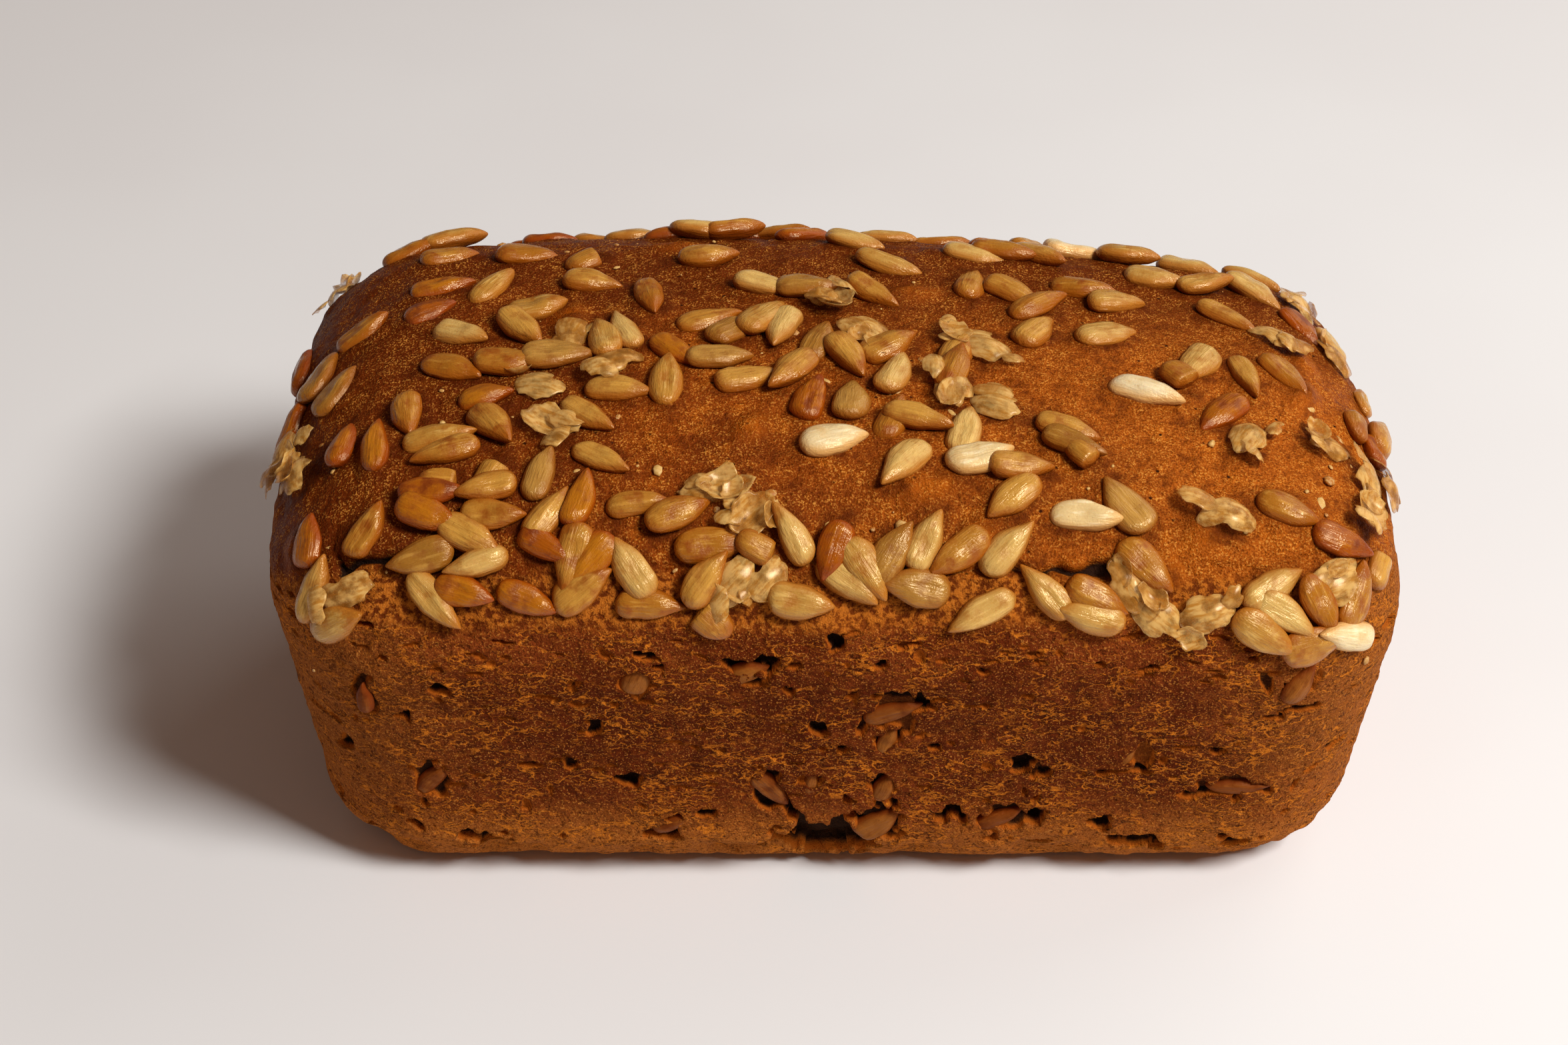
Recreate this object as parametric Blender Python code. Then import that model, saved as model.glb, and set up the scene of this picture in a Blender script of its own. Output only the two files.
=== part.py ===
"""A small tin loaf of dark bread whose domed top is strewn with sunflower kernels.

The loaf was baked in a tapered tin with round corners, so its lower half has the tin's form and its upper half
is a free crust that swelled a little over the tin's rim. The kernels lie in rows and drifts on that crust, pressed
into it by about a third of their thickness, and are one solid with it. Metres, +Z up, origin under the middle of
the base.
"""

import math
import random

import bmesh
import bpy
import numpy as np
from mathutils import Matrix, Vector

MM = 0.001

# The lower half, formed by the tin
RIM_HALF_LENGTH = 87.5 * MM
RIM_HALF_WIDTH = 50.7 * MM
RIM_HEIGHT = 57 * MM
TIN_TAPER = 7 * MM
TIN_CORNER_AT_BASE = 20 * MM
TIN_CORNER_AT_RIM = 24 * MM
BASE_EDGE_RADIUS = 12 * MM
BASE_PRESSED_FLAT = 0.4 * MM

# The upper half, the free crust
CROWN_HEIGHT = 73.5 * MM
CROWN_FALL_ALONG = 6 * MM
CROWN_FALL_ACROSS = 6 * MM
CROWN_LEAN = 2 * MM
BACK_RIGHT_FALL = 4.5 * MM
SHOULDER_RADIUS = 22 * MM
RIM_SWELL = 0.6 * MM
RIM_SWELL_REACH = 9 * MM
LEAN_IN_ABOVE_RIM = 0.06

# Gaps low on the sides where the dough didn't fill the tin: x, y and z of each scoop's middle, its half width and
# its half height, in millimetres
SIDE_GAPS = (
    (1.0, -49.4, 12.8, 8.2, 3.4),
    (-27.2, -47.2, 12.2, 3.8, 2.3),
    (-56.1, -46.8, 10.6, 3.6, 1.9),
    (18.2, -47.6, 15.8, 3.4, 2.1),
    (30.4, -47.4, 15.6, 2.6, 3.8),
    (48.0, -46.8, 9.6, 4.0, 1.8),
    (62.1, -46.6, 9.2, 3.4, 1.7),
    (-10.4, -48.0, 20.6, 3.0, 4.4),
    (8.0, -51.0, 41.6, 5.0, 2.4),
    (-38.0, 47.4, 11.0, 5.6, 2.8),
    (22.0, 47.2, 13.0, 4.4, 2.2),
    (-84.0, 12.0, 12.0, 5.2, 2.6),
    (84.0, -8.0, 11.0, 4.6, 2.4),
)

# The body's mesh
BODY_FACES = (66, 34, 28)
BODY_SHARE_KEPT = 0.086
CAST_STEPS = 32
FARTHEST_CAST = 0.14

# The kernels. The share of a whole kernel's length, width and thickness that each kind has: c cream and p pale,
# t tan, g grey, o toasted and d dark ones, which are all whole, then b a broken one and h a flake of husk.
KERNEL_LENGTH = 10.7 * MM
KERNEL_WIDTH = 5.9 * MM
KERNEL_THICKNESS = 3.4 * MM
KERNEL_KINDS = {
    "c": (1.08, 1.06, 1.08),
    "p": (1.03, 1.0, 1.0),
    "t": (1.0, 0.97, 1.0),
    "g": (1.03, 1.05, 0.9),
    "o": (0.93, 0.93, 0.95),
    "d": (0.86, 0.92, 0.95),
    "b": (0.62, 0.9, 0.95),
    "h": (0.92, 1.1, 0.5),
}
KERNEL_SPREAD = 0.07
KERNEL_SIDES = 5
KERNEL_RINGS = 3
KERNEL_TIP_REACH = 1.12
KERNEL_BLUNT_END = 0.90
KERNEL_WIDTH_BEHIND = 1.16
KERNEL_WIDTH_AHEAD = 0.86
KERNEL_SEAT = 0.22
KERNEL_TILT = 8
FREE_OVERLAP = 1.4 * MM
LIFT_PER_OVERLAP = 0.45
MOST_LIFT = 0.28
LAYOUT_SEED = 11
PLACE_STRAY = 0.006
HEADING_STRAY = 9

# Rows of kernels on the dome. u and v run from -1 to 1 over it, along and across. Each row has u, v and the
# heading in degrees of its first kernel and of its last, and a letter for the kind of each one.
KERNEL_ROWS = (
    # The back edge
    (-0.775, 0.70, 5, -0.70, 0.59, 12, "tt"),
    (-0.73, 0.74, 15, -0.465, 0.78, -5, "pop"),
    (-0.65, 0.84, 8, -0.42, 0.85, -25, "opt"),
    (-0.595, 0.57, 0, -0.505, 0.55, 35, "tb"),
    (-0.39, 0.72, 0, -0.25, 0.70, 5, "dpt"),
    (-0.31, 0.81, 20, -0.15, 0.80, -18, "tot"),
    (-0.09, 0.71, 38, 0.05, 0.64, -30, "op"),
    (0.05, 0.80, 12, 0.12, 0.84, -5, "pd"),
    (0.125, 0.72, 0, 0.26, 0.80, -5, "pt"),
    (0.375, 0.77, 60, 0.60, 0.70, -20, "opcp"),
    (-0.70, 0.97, -40, 0.62, 0.97, 40, "tptottptto"),
    (-0.93, 0.78, 70, -0.86, 0.90, -50, "hb"),
    (0.90, 0.50, -68, 0.80, 0.76, -40, "php"),
    # The left-hand end
    (-0.955, 0.38, 72, -0.94, -0.16, 40, "oo"),
    (-0.86, 0.05, 55, -0.82, -0.17, 56, "gg"),
    (-0.925, -0.33, 80, -0.87, -0.54, 105, "hhh"),
    (-0.79, -0.50, 74, -0.745, -0.53, 84, "oo"),
    (-0.865, -0.74, 84, -0.865, -0.74, 84, "o"),
    (-0.905, -0.86, 66, -0.85, -0.86, 22, "ph"),
    (-0.91, -0.95, 30, -0.78, -0.72, 62, "pt"),
    # The left of the top
    (-0.79, 0.28, 12, -0.70, 0.29, 30, "td"),
    (-0.695, 0.43, 12, -0.635, 0.41, 48, "op"),
    (-0.665, 0.10, -24, -0.575, 0.285, 0, "pp"),
    (-0.58, 0.12, -62, -0.515, 0.04, 75, "th"),
    (-0.50, 0.42, 0, -0.405, 0.35, -74, "tt"),
    (-0.47, -0.03, 102, -0.43, 0.05, 108, "pp"),
    (-0.66, -0.21, -30, -0.54, -0.175, 10, "ttg"),
    (-0.625, -0.38, 8, -0.55, -0.33, -22, "oh"),
    (-0.45, -0.21, 25, -0.45, -0.37, 2, "ht"),
    (-0.70, -0.42, 280, -0.61, -0.49, -58, "tt"),
    (-0.675, -0.525, 17, -0.66, -0.565, 205, "pt"),
    (-0.605, -0.605, 60, -0.655, -0.635, 0, "bb"),
    (-0.69, -0.65, -10, -0.695, -0.70, -20, "oo"),
    (-0.62, -0.655, 192, -0.615, -0.70, 3, "tt"),
    (-0.54, -0.49, -30, -0.485, -0.45, -50, "ht"),
    (-0.47, -0.585, -36, -0.42, -0.69, 0, "tt"),
    (-0.55, -0.62, 76, -0.55, -0.70, 56, "gt"),
    # The front left
    (-0.65, -0.735, -35, -0.715, -0.78, 200, "tg"),
    (-0.655, -0.795, 200, -0.73, -0.87, -48, "pp"),
    (-0.69, -0.855, -8, -0.605, -0.868, -26, "oo"),
    (-0.525, -0.86, 30, -0.56, -0.765, -36, "to"),
    (-0.50, -0.675, 80, -0.52, -0.775, 251, "ot"),
    (-0.41, -0.89, -10, -0.495, -0.78, 236, "to"),
    (-0.42, -0.81, 120, -0.30, -0.905, 140, "pb"),
    (-0.35, -0.705, 15, -0.29, -0.76, -2, "tt"),
    (-0.30, -0.83, 55, -0.17, -0.83, 42, "thh"),
    (-0.17, -0.765, -20, -0.10, -0.87, -5, "bp"),
    # The middle of the top
    (-0.305, 0.54, 4, -0.18, 0.39, -18, "tp"),
    (-0.08, 0.365, -5, 0.00, 0.28, -72, "gh"),
    (0.13, 0.53, -18, 0.09, 0.38, -38, "pt"),
    (-0.30, 0.155, 25, -0.25, 0.04, 42, "tg"),
    (-0.175, 0.13, 60, -0.125, 0.07, 260, "pp"),
    (0.06, 0.06, -30, 0.12, -0.10, 25, "ht"),
    (-0.36, -0.13, -40, -0.27, -0.20, 8, "og"),
    (-0.36, -0.34, 88, -0.21, -0.31, 16, "pt"),
    (-0.055, -0.06, 72, -0.115, -0.28, 235, "gt"),
    (0.02, -0.17, -52, -0.065, -0.41, 85, "to"),
    (0.13, -0.28, 67, 0.02, -0.41, 86, "pg"),
    (0.12, -0.48, 62, 0.175, -0.48, -20, "tt"),
    (-0.02, -0.54, 8, 0.15, -0.59, 226, "cp"),
    (-0.25, -0.645, 5, -0.20, -0.70, 56, "hh"),
    # The middle of the front
    (0.01, -0.83, -40, 0.055, -0.80, -50, "pp"),
    (-0.11, -0.745, 120, -0.02, -0.765, 250, "po"),
    (0.11, -0.78, 50, 0.19, -0.76, 66, "gp"),
    (0.27, -0.77, 210, 0.35, -0.76, 53, "tp"),
    (0.175, -0.85, 175, 0.31, -0.91, 205, "gp"),
    # The right of the top
    (0.31, 0.44, 70, 0.38, 0.41, -28, "tt"),
    (0.32, 0.60, -8, 0.44, 0.62, -38, "ptt"),
    (0.50, 0.46, -8, 0.43, 0.31, 38, "tt"),
    (0.55, 0.39, 15, 0.53, 0.14, 30, "pp"),
    (0.62, 0.58, -8, 0.69, 0.57, 10, "pp"),
    (0.70, 0.40, -32, 0.76, 0.28, -46, "th"),
    (0.70, 0.71, -28, 0.88, 0.37, -72, "ppoh"),
    (0.42, 0.11, 54, 0.27, -0.10, 70, "tt"),
    (0.30, 0.00, 12, 0.33, -0.07, -22, "hh"),
    (0.26, -0.26, 80, 0.255, -0.36, 86, "th"),
    (0.64, -0.05, 240, 0.70, -0.12, -72, "pt"),
    (0.57, -0.30, -13, 0.755, -0.05, -50, "ct"),
    (0.62, -0.23, -42, 0.67, -0.385, 222, "bo"),
    (0.345, -0.415, -20, 0.70, -0.48, 62, "hh"),
    (0.27, -0.51, 80, 0.30, -0.58, 20, "pc"),
    (0.37, -0.60, -5, 0.37, -0.66, 223, "tt"),
    (0.45, -0.475, -20, 0.48, -0.585, -42, "tgb"),
    # The front right
    (0.48, -0.705, 0, 0.55, -0.68, 124, "cg"),
    (0.575, -0.79, -50, 0.56, -0.835, -56, "th"),
    (0.515, -0.865, -20, 0.435, -0.855, 135, "tp"),
    (0.52, -0.92, 175, 0.635, -0.93, -40, "ph"),
    (0.745, -0.675, -22, 0.67, -0.70, -10, "th"),
    (0.70, -0.915, 15, 0.765, -0.85, 41, "hp"),
    (0.81, -0.915, -26, 0.80, -0.97, -32, "pp"),
    # The right-hand end
    (0.84, -0.89, -58, 0.90, -0.88, 60, "tt"),
    (0.83, -0.735, -10, 0.86, -0.82, 20, "oh"),
    (0.81, -0.43, 10, 0.875, -0.52, -70, "hh"),
    (0.88, -0.65, 82, 0.93, -0.775, 62, "hb"),
    (0.885, -0.18, 86, 0.93, -0.28, 80, "bo"),
    (0.945, 0.20, 78, 0.955, -0.50, 86, "pth"),
    (0.895, -1.03, 12, 0.965, -1.02, 170, "tc"),
)
FAN_INSET_ALONG = 24 * MM
FAN_INSET_ACROSS = 22 * MM
FAN_HEIGHT = 45 * MM
FAN_LEAN = 2.2

CRUST_COLOUR = (0.23, 0.07, 0.018, 1.0)


def rounded_join(first, second, radius):
    """The inside of both fields, with the edge between them rounded."""
    inner = np.minimum(-radius, np.maximum(first, second))
    return inner + np.hypot(np.maximum(first + radius, 0), np.maximum(second + radius, 0))


def tin_side(x, y, z):
    """Signed distance to the upright wall: a rounded rectangle that widens from the base to the rim."""
    share = np.clip(z / RIM_HEIGHT, 0, 1)
    swell = RIM_SWELL * np.exp(-(((z - RIM_HEIGHT) / RIM_SWELL_REACH) ** 2))
    grown = swell - TIN_TAPER * (1 - share) - LEAN_IN_ABOVE_RIM * np.maximum(z - RIM_HEIGHT, 0)
    corner = TIN_CORNER_AT_BASE + (TIN_CORNER_AT_RIM - TIN_CORNER_AT_BASE) * share
    along = np.abs(x) - (RIM_HALF_LENGTH + grown) + corner
    across = np.abs(y) - (RIM_HALF_WIDTH + grown) + corner
    outside = np.hypot(np.maximum(along, 0), np.maximum(across, 0))
    return outside + np.minimum(np.maximum(along, across), 0) - corner


def crown(x, y):
    """Height of the dome before its shoulders are rounded off, lower at its right-hand end and back corner."""
    along = x / RIM_HALF_LENGTH
    across = y / RIM_HALF_WIDTH
    fall = CROWN_FALL_ALONG * along**2 + CROWN_FALL_ACROSS * across**2 + CROWN_LEAN * along
    return CROWN_HEIGHT - fall - BACK_RIGHT_FALL * np.maximum(along, 0) * np.maximum(across, 0)


def loaf_field(points):
    """Signed distance to the loaf without its kernels, under 0 inside, for an array of points."""
    x, y, z = points[:, 0], points[:, 1], points[:, 2]
    shouldered = rounded_join(tin_side(x, y, z), z - crown(x, y), SHOULDER_RADIUS)
    return rounded_join(shouldered, -z - BASE_PRESSED_FLAT, BASE_EDGE_RADIUS)


def loaf_field_with_gaps(points):
    """The loaf with the gaps low on its sides scooped out, each by a flat-lying ball."""
    field = loaf_field(points)
    for x, y, z, half_width, half_height in SIDE_GAPS:
        apart = (points / MM - (x, y, z)) / (half_width, half_width, half_height)
        scoop = (1 - np.linalg.norm(apart, axis=1)) * half_height * MM
        field = np.maximum(field, scoop)
    return field


def cast(origins, directions, field):
    """Where rays from inside the loaf meet its surface, found by halving."""
    near = np.zeros(len(origins))
    far = np.full(len(origins), FARTHEST_CAST)
    for _ in range(CAST_STEPS):
        middle = (near + far) / 2
        inside = field(origins + directions * middle[:, None]) < 0
        near = np.where(inside, middle, near)
        far = np.where(inside, far, middle)
    return origins + directions * near[:, None]


def dome_points(u, v):
    """Points on the dome for u and v from -1 to 1. The rays fan out from a flat plate inside the loaf."""
    plate_length = RIM_HALF_LENGTH - FAN_INSET_ALONG
    plate_width = RIM_HALF_WIDTH - FAN_INSET_ACROSS
    origins = np.stack([u * plate_length, v * plate_width, np.full(len(u), FAN_HEIGHT)], axis=1)
    directions = np.stack([FAN_LEAN * u**3, FAN_LEAN * v**3, np.ones(len(u))], axis=1)
    directions /= np.linalg.norm(directions, axis=1)[:, None]
    return cast(origins, directions, loaf_field)


def surface_normal(point):
    """Outward normal of the loaf at a point on it."""
    reach = 0.5 * MM
    steps = np.vstack([np.eye(3), -np.eye(3)]) * reach
    values = loaf_field(np.array(point) + steps)
    return Vector(values[:3] - values[3:]).normalized()


def kernel_discs(place, axis, length):
    """A kernel's three stand-in discs, used to see how far kernels lie over each other."""
    return [place + axis * (length * share) for share in (-0.3, 0.0, 0.3)]


def overlap_with(discs, laid):
    """How far these discs lie over those of the kernels already laid."""
    gaps = [(a - b).length for kernel in laid for a in discs for b in kernel["discs"]]
    return max(KERNEL_WIDTH - min(gaps, default=KERNEL_WIDTH), 0)


def row_of_kernels(row, draw):
    """u, v, heading and kind of each kernel in a row, set evenly from its first to its last with a little stray."""
    u0, v0, heading0, u1, v1, heading1, kinds = row
    for number, kind in enumerate(kinds):
        share = number / max(len(kinds) - 1, 1)
        u = u0 + (u1 - u0) * share + draw.uniform(-1, 1) * PLACE_STRAY
        v = v0 + (v1 - v0) * share + draw.uniform(-1, 1) * PLACE_STRAY
        heading = heading0 + (heading1 - heading0) * share + draw.uniform(-1, 1) * HEADING_STRAY
        yield u, v, math.radians(heading), kind


def lay_kernels():
    """Places every kernel, row by row. One that lies over others is lifted on to them."""
    draw = random.Random(LAYOUT_SEED)
    laid = []
    for row in KERNEL_ROWS:
        for u, v, heading, kind in row_of_kernels(row, draw):
            place = Vector(dome_points(np.array([u]), np.array([v]))[0])
            normal = surface_normal(place)
            side = normal.cross(Vector((1, 0, 0))).normalized()
            axis = side.cross(normal) * math.cos(heading) + side * math.sin(heading)
            long, wide, thick = (s * (1 + draw.uniform(-1, 1) * KERNEL_SPREAD) for s in KERNEL_KINDS[kind])
            size = Vector((KERNEL_LENGTH * long, KERNEL_WIDTH * wide, KERNEL_THICKNESS * thick))
            discs = kernel_discs(place, axis, size.x)
            lift = max(overlap_with(discs, laid) - FREE_OVERLAP, 0) * LIFT_PER_OVERLAP
            kernel = {"place": place, "normal": normal, "axis": axis, "discs": discs, "size": size}
            stand_off = loaf_field(np.array([discs[0], discs[2]])).mean()
            kernel["lift"] = min(lift, MOST_LIFT * size.z) - max(stand_off, 0)
            kernel["tilt"] = math.radians(draw.uniform(-1, 1) * KERNEL_TILT)
            laid.append(kernel)
    return laid


def kernel_matrix(kernel):
    """Kernel's own axes to the loaf's: its tip along its heading, its flat side along the crust."""
    across = kernel["normal"].cross(kernel["axis"]).normalized()
    turn = Matrix((kernel["axis"], across, kernel["normal"])).transposed().to_4x4()
    height = kernel["size"].z * KERNEL_SEAT + kernel["lift"]
    place = kernel["place"] + kernel["normal"] * height
    return Matrix.Translation(place) @ turn @ Matrix.Rotation(kernel["tilt"], 4, "Y")


def shape_kernel(mesh, kernel):
    """Turns a ball whose poles lie along x into a kernel: flat, blunt behind and pointed in front."""
    half = kernel["size"] / 2
    for vertex in mesh.verts:
        x, y, z = vertex.co
        reach = KERNEL_TIP_REACH if x > 0 else KERNEL_BLUNT_END
        wide = KERNEL_WIDTH_AHEAD if x > 0 else KERNEL_WIDTH_BEHIND
        vertex.co = Vector((x * reach * half.x, y * wide * half.y, z * wide * half.z))


def material(name, colour, roughness):
    made = bpy.data.materials.new(name)
    made.use_nodes = True
    shader = made.node_tree.nodes["Principled BSDF"]
    shader.inputs["Base Color"].default_value = colour
    shader.inputs["Roughness"].default_value = roughness
    shader.inputs["Metallic"].default_value = 0.0
    return made


def object_from(bm, name, collection):
    mesh = bpy.data.meshes.new(name)
    bm.to_mesh(mesh)
    bm.free()
    made = bpy.data.objects.new(name, mesh)
    collection.objects.link(made)
    return made


def make_body(collection):
    """The loaf itself: a divided box whose points are cast out to the loaf's surface."""
    bm = bmesh.new()
    bmesh.ops.create_cube(bm, size=2)
    for axis, faces in enumerate(BODY_FACES):
        edges = [e for e in bm.edges if abs((e.verts[0].co - e.verts[1].co)[axis]) > 1]
        bmesh.ops.subdivide_edges(bm, edges=edges, cuts=faces - 1, use_grid_fill=True)
    heart = np.array([0, 0, CROWN_HEIGHT * 0.45])
    box = np.array([RIM_HALF_LENGTH, RIM_HALF_WIDTH, CROWN_HEIGHT / 2])
    directions = np.array([v.co for v in bm.verts]) * box
    directions /= np.linalg.norm(directions, axis=1)[:, None]
    origins = np.repeat(heart[None], len(directions), axis=0)
    for vertex, place in zip(bm.verts, cast(origins, directions, loaf_field_with_gaps)):
        vertex.co = place
    body = object_from(bm, "loaf", collection)
    fewer = body.modifiers.new("fewer faces", "DECIMATE")
    fewer.ratio = BODY_SHARE_KEPT
    return body


def press_base_flat(body):
    """Cuts the underside off level with the table and closes it with one flat face."""
    bm = bmesh.new()
    bm.from_mesh(body.data)
    every = list(bm.verts) + list(bm.edges) + list(bm.faces)
    bmesh.ops.bisect_plane(bm, geom=every, plane_co=(0, 0, 0), plane_no=(0, 0, -1), clear_outer=True)
    rim = [e for e in bm.edges if e.is_boundary]
    for vertex in {v for e in rim for v in e.verts}:
        vertex.co.z = 0
    bmesh.ops.holes_fill(bm, edges=rim)
    bmesh.ops.recalc_face_normals(bm, faces=bm.faces)
    bm.to_mesh(body.data)
    bm.free()


def make_kernels(collection):
    for number, kernel in enumerate(lay_kernels()):
        bm = bmesh.new()
        bmesh.ops.create_uvsphere(bm, u_segments=KERNEL_SIDES, v_segments=KERNEL_RINGS, radius=1)
        bm.transform(Matrix.Rotation(math.pi / 2, 4, "Y"))
        shape_kernel(bm, kernel)
        bm.transform(kernel_matrix(kernel))
        object_from(bm, f"kernel_{number:03d}", collection)


def apply_modifiers(obj):
    """Bakes an object's modifiers into its mesh."""
    bpy.context.view_layer.update()
    evaluated = obj.evaluated_get(bpy.context.evaluated_depsgraph_get())
    applied = bpy.data.meshes.new_from_object(evaluated)
    obj.modifiers.clear()
    obj.data = applied


def largest_body(obj):
    """Keeps the biggest connected part of a mesh and drops any loose scrap."""
    bm = bmesh.new()
    bm.from_mesh(obj.data)
    left = set(bm.verts)
    parts = []
    while left:
        found, edge = set(), {next(iter(left))}
        while edge:
            found |= edge
            edge = {e.other_vert(v) for v in edge for e in v.link_edges} - found
        parts.append(found)
        left -= found
    keep = max(parts, key=len)
    bmesh.ops.delete(bm, geom=[v for v in bm.verts if v not in keep], context="VERTS")
    bmesh.ops.recalc_face_normals(bm, faces=bm.faces)
    bm.to_mesh(obj.data)
    bm.free()


def main():
    for obj in list(bpy.data.objects):
        bpy.data.objects.remove(obj)
    loaf_collection = bpy.data.collections.new("seed_loaf")
    kernels = bpy.data.collections.new("kernels")
    bpy.context.scene.collection.children.link(loaf_collection)
    bpy.context.scene.collection.children.link(kernels)
    body = make_body(loaf_collection)
    apply_modifiers(body)
    press_base_flat(body)
    make_kernels(kernels)
    union = body.modifiers.new("kernels on the crust", "BOOLEAN")
    union.operation = "UNION"
    union.operand_type = "COLLECTION"
    union.collection = kernels
    union.solver = "MANIFOLD"
    apply_modifiers(body)
    for obj in list(kernels.objects):
        bpy.data.objects.remove(obj)
    bpy.data.collections.remove(kernels)
    largest_body(body)
    body.data.materials.clear()
    body.data.materials.append(material("baked crust", CRUST_COLOUR, 0.6))


main()
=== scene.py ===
import math
import random

import bmesh
import bpy
import numpy as np
from mathutils import Matrix, Vector


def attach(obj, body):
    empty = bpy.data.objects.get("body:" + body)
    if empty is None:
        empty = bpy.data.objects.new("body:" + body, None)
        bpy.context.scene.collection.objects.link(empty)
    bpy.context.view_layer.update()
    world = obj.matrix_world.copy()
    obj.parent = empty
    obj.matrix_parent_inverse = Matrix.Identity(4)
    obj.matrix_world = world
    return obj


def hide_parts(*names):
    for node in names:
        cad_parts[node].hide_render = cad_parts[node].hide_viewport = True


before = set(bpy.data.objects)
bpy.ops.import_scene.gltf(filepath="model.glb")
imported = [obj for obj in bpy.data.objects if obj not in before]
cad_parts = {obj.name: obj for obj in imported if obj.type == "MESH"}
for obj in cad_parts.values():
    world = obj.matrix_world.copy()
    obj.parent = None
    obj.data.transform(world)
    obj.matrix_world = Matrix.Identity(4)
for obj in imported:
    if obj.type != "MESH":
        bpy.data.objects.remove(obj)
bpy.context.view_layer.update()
scene = bpy.context.scene
MM = 0.001

# The loaf's form. Dark dough was baked in a tapered tin with round corners, so the lower part has the tin's
# form and the upper part is a free dome. The form is a signed distance, under 0 inside, and the crust's
# meshes and the places of the kernels are all worked out from it.

RIM_HALF_LENGTH = 87.5 * MM
RIM_HALF_WIDTH = 50.7 * MM
RIM_HEIGHT = 57 * MM
TIN_TAPER = 7 * MM
TIN_CORNER_AT_BASE = 20 * MM
TIN_CORNER_AT_RIM = 24 * MM
BASE_EDGE_RADIUS = 12 * MM
BASE_PRESSED_FLAT = 0.4 * MM
CROWN_HEIGHT = 73.5 * MM
CROWN_FALL_ALONG = 6 * MM
CROWN_FALL_ACROSS = 6 * MM
CROWN_LEAN = 2 * MM
BACK_RIGHT_FALL = 4.5 * MM
SHOULDER_RADIUS = 22 * MM
RIM_SWELL = 0.6 * MM
RIM_SWELL_REACH = 9 * MM
LEAN_IN_ABOVE_RIM = 0.06


def hump(distance, reach):
    """1 where the distance is 0, falling smoothly to almost nothing at twice the reach."""
    return np.exp(-((distance / reach) ** 2))


def rounded_join(first, second, radius):
    """The inside of both fields, with the edge between them rounded."""
    inner = np.minimum(-radius, np.maximum(first, second))
    return inner + np.hypot(np.maximum(first + radius, 0), np.maximum(second + radius, 0))


def tin_side(x, y, z):
    """Signed distance to the upright wall: a rounded rectangle that widens from the base to the rim."""
    share = np.clip(z / RIM_HEIGHT, 0, 1)
    swell = RIM_SWELL * hump(z - RIM_HEIGHT, RIM_SWELL_REACH)
    grown = swell - TIN_TAPER * (1 - share) - LEAN_IN_ABOVE_RIM * np.maximum(z - RIM_HEIGHT, 0)
    corner = TIN_CORNER_AT_BASE + (TIN_CORNER_AT_RIM - TIN_CORNER_AT_BASE) * share
    along = np.abs(x) - (RIM_HALF_LENGTH + grown) + corner
    across = np.abs(y) - (RIM_HALF_WIDTH + grown) + corner
    outside = np.hypot(np.maximum(along, 0), np.maximum(across, 0))
    return outside + np.minimum(np.maximum(along, across), 0) - corner


def crown(x, y):
    """Height of the dome before its shoulders are rounded, lower at the right-hand end and back corner."""
    along = x / RIM_HALF_LENGTH
    across = y / RIM_HALF_WIDTH
    fall = CROWN_FALL_ALONG * along**2 + CROWN_FALL_ACROSS * across**2 + CROWN_LEAN * along
    return CROWN_HEIGHT - fall - BACK_RIGHT_FALL * np.maximum(along, 0) * np.maximum(across, 0)


def loaf_field(points):
    """Signed distance to the loaf without its kernels, for an array of points."""
    x, y, z = points[:, 0], points[:, 1], points[:, 2]
    shouldered = rounded_join(tin_side(x, y, z), z - crown(x, y), SHOULDER_RADIUS)
    return rounded_join(shouldered, -z - BASE_PRESSED_FLAT, BASE_EDGE_RADIUS)


def cast(origins, directions, reach=140 * MM, steps=32):
    """Where rays from inside the loaf meet its surface, found by halving."""
    near = np.zeros(len(origins))
    far = np.full(len(origins), reach)
    for _ in range(steps):
        middle = (near + far) / 2
        inside = loaf_field(origins + directions * middle[:, None]) < 0
        near = np.where(inside, middle, near)
        far = np.where(inside, far, middle)
    return origins + directions * near[:, None]


def outward(points):
    """Unit normals of the loaf's surface at an array of points."""
    reach = 0.5 * MM
    slopes = [loaf_field(points + step) - loaf_field(points - step) for step in np.eye(3) * reach]
    normals = np.stack(slopes, axis=1)
    return normals / np.linalg.norm(normals, axis=1)[:, None]


# Where the kernels lie. They were strewn on the wet dough in rows and drifts, thickest along the front
# shoulder, and each beds into the crust by a share of its thickness. The places repeat those of the solid.

KERNEL_LENGTH = 10.7 * MM
KERNEL_WIDTH = 5.9 * MM
KERNEL_THICKNESS = 3.4 * MM
# The length, width and thickness of each kind, as shares of the three sizes above
KERNEL_KINDS = {
    "c": (1.08, 1.06, 1.08),
    "p": (1.03, 1.0, 1.0),
    "t": (1.0, 0.97, 1.0),
    "g": (1.03, 1.05, 0.9),
    "o": (0.93, 0.93, 0.95),
    "d": (0.86, 0.92, 0.95),
    "b": (0.62, 0.9, 0.95),
    "h": (0.92, 1.1, 0.5),
}
KERNEL_SPREAD = 0.07
KERNEL_SEAT = 0.22
KERNEL_TILT = 8
FREE_OVERLAP = 1.4 * MM
LIFT_PER_OVERLAP = 0.45
MOST_LIFT = 0.28
LAYOUT_SEED = 11
PLACE_STRAY = 0.006
HEADING_STRAY = 9
DISCS_AT = (-0.3, 0.0, 0.3)

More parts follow.
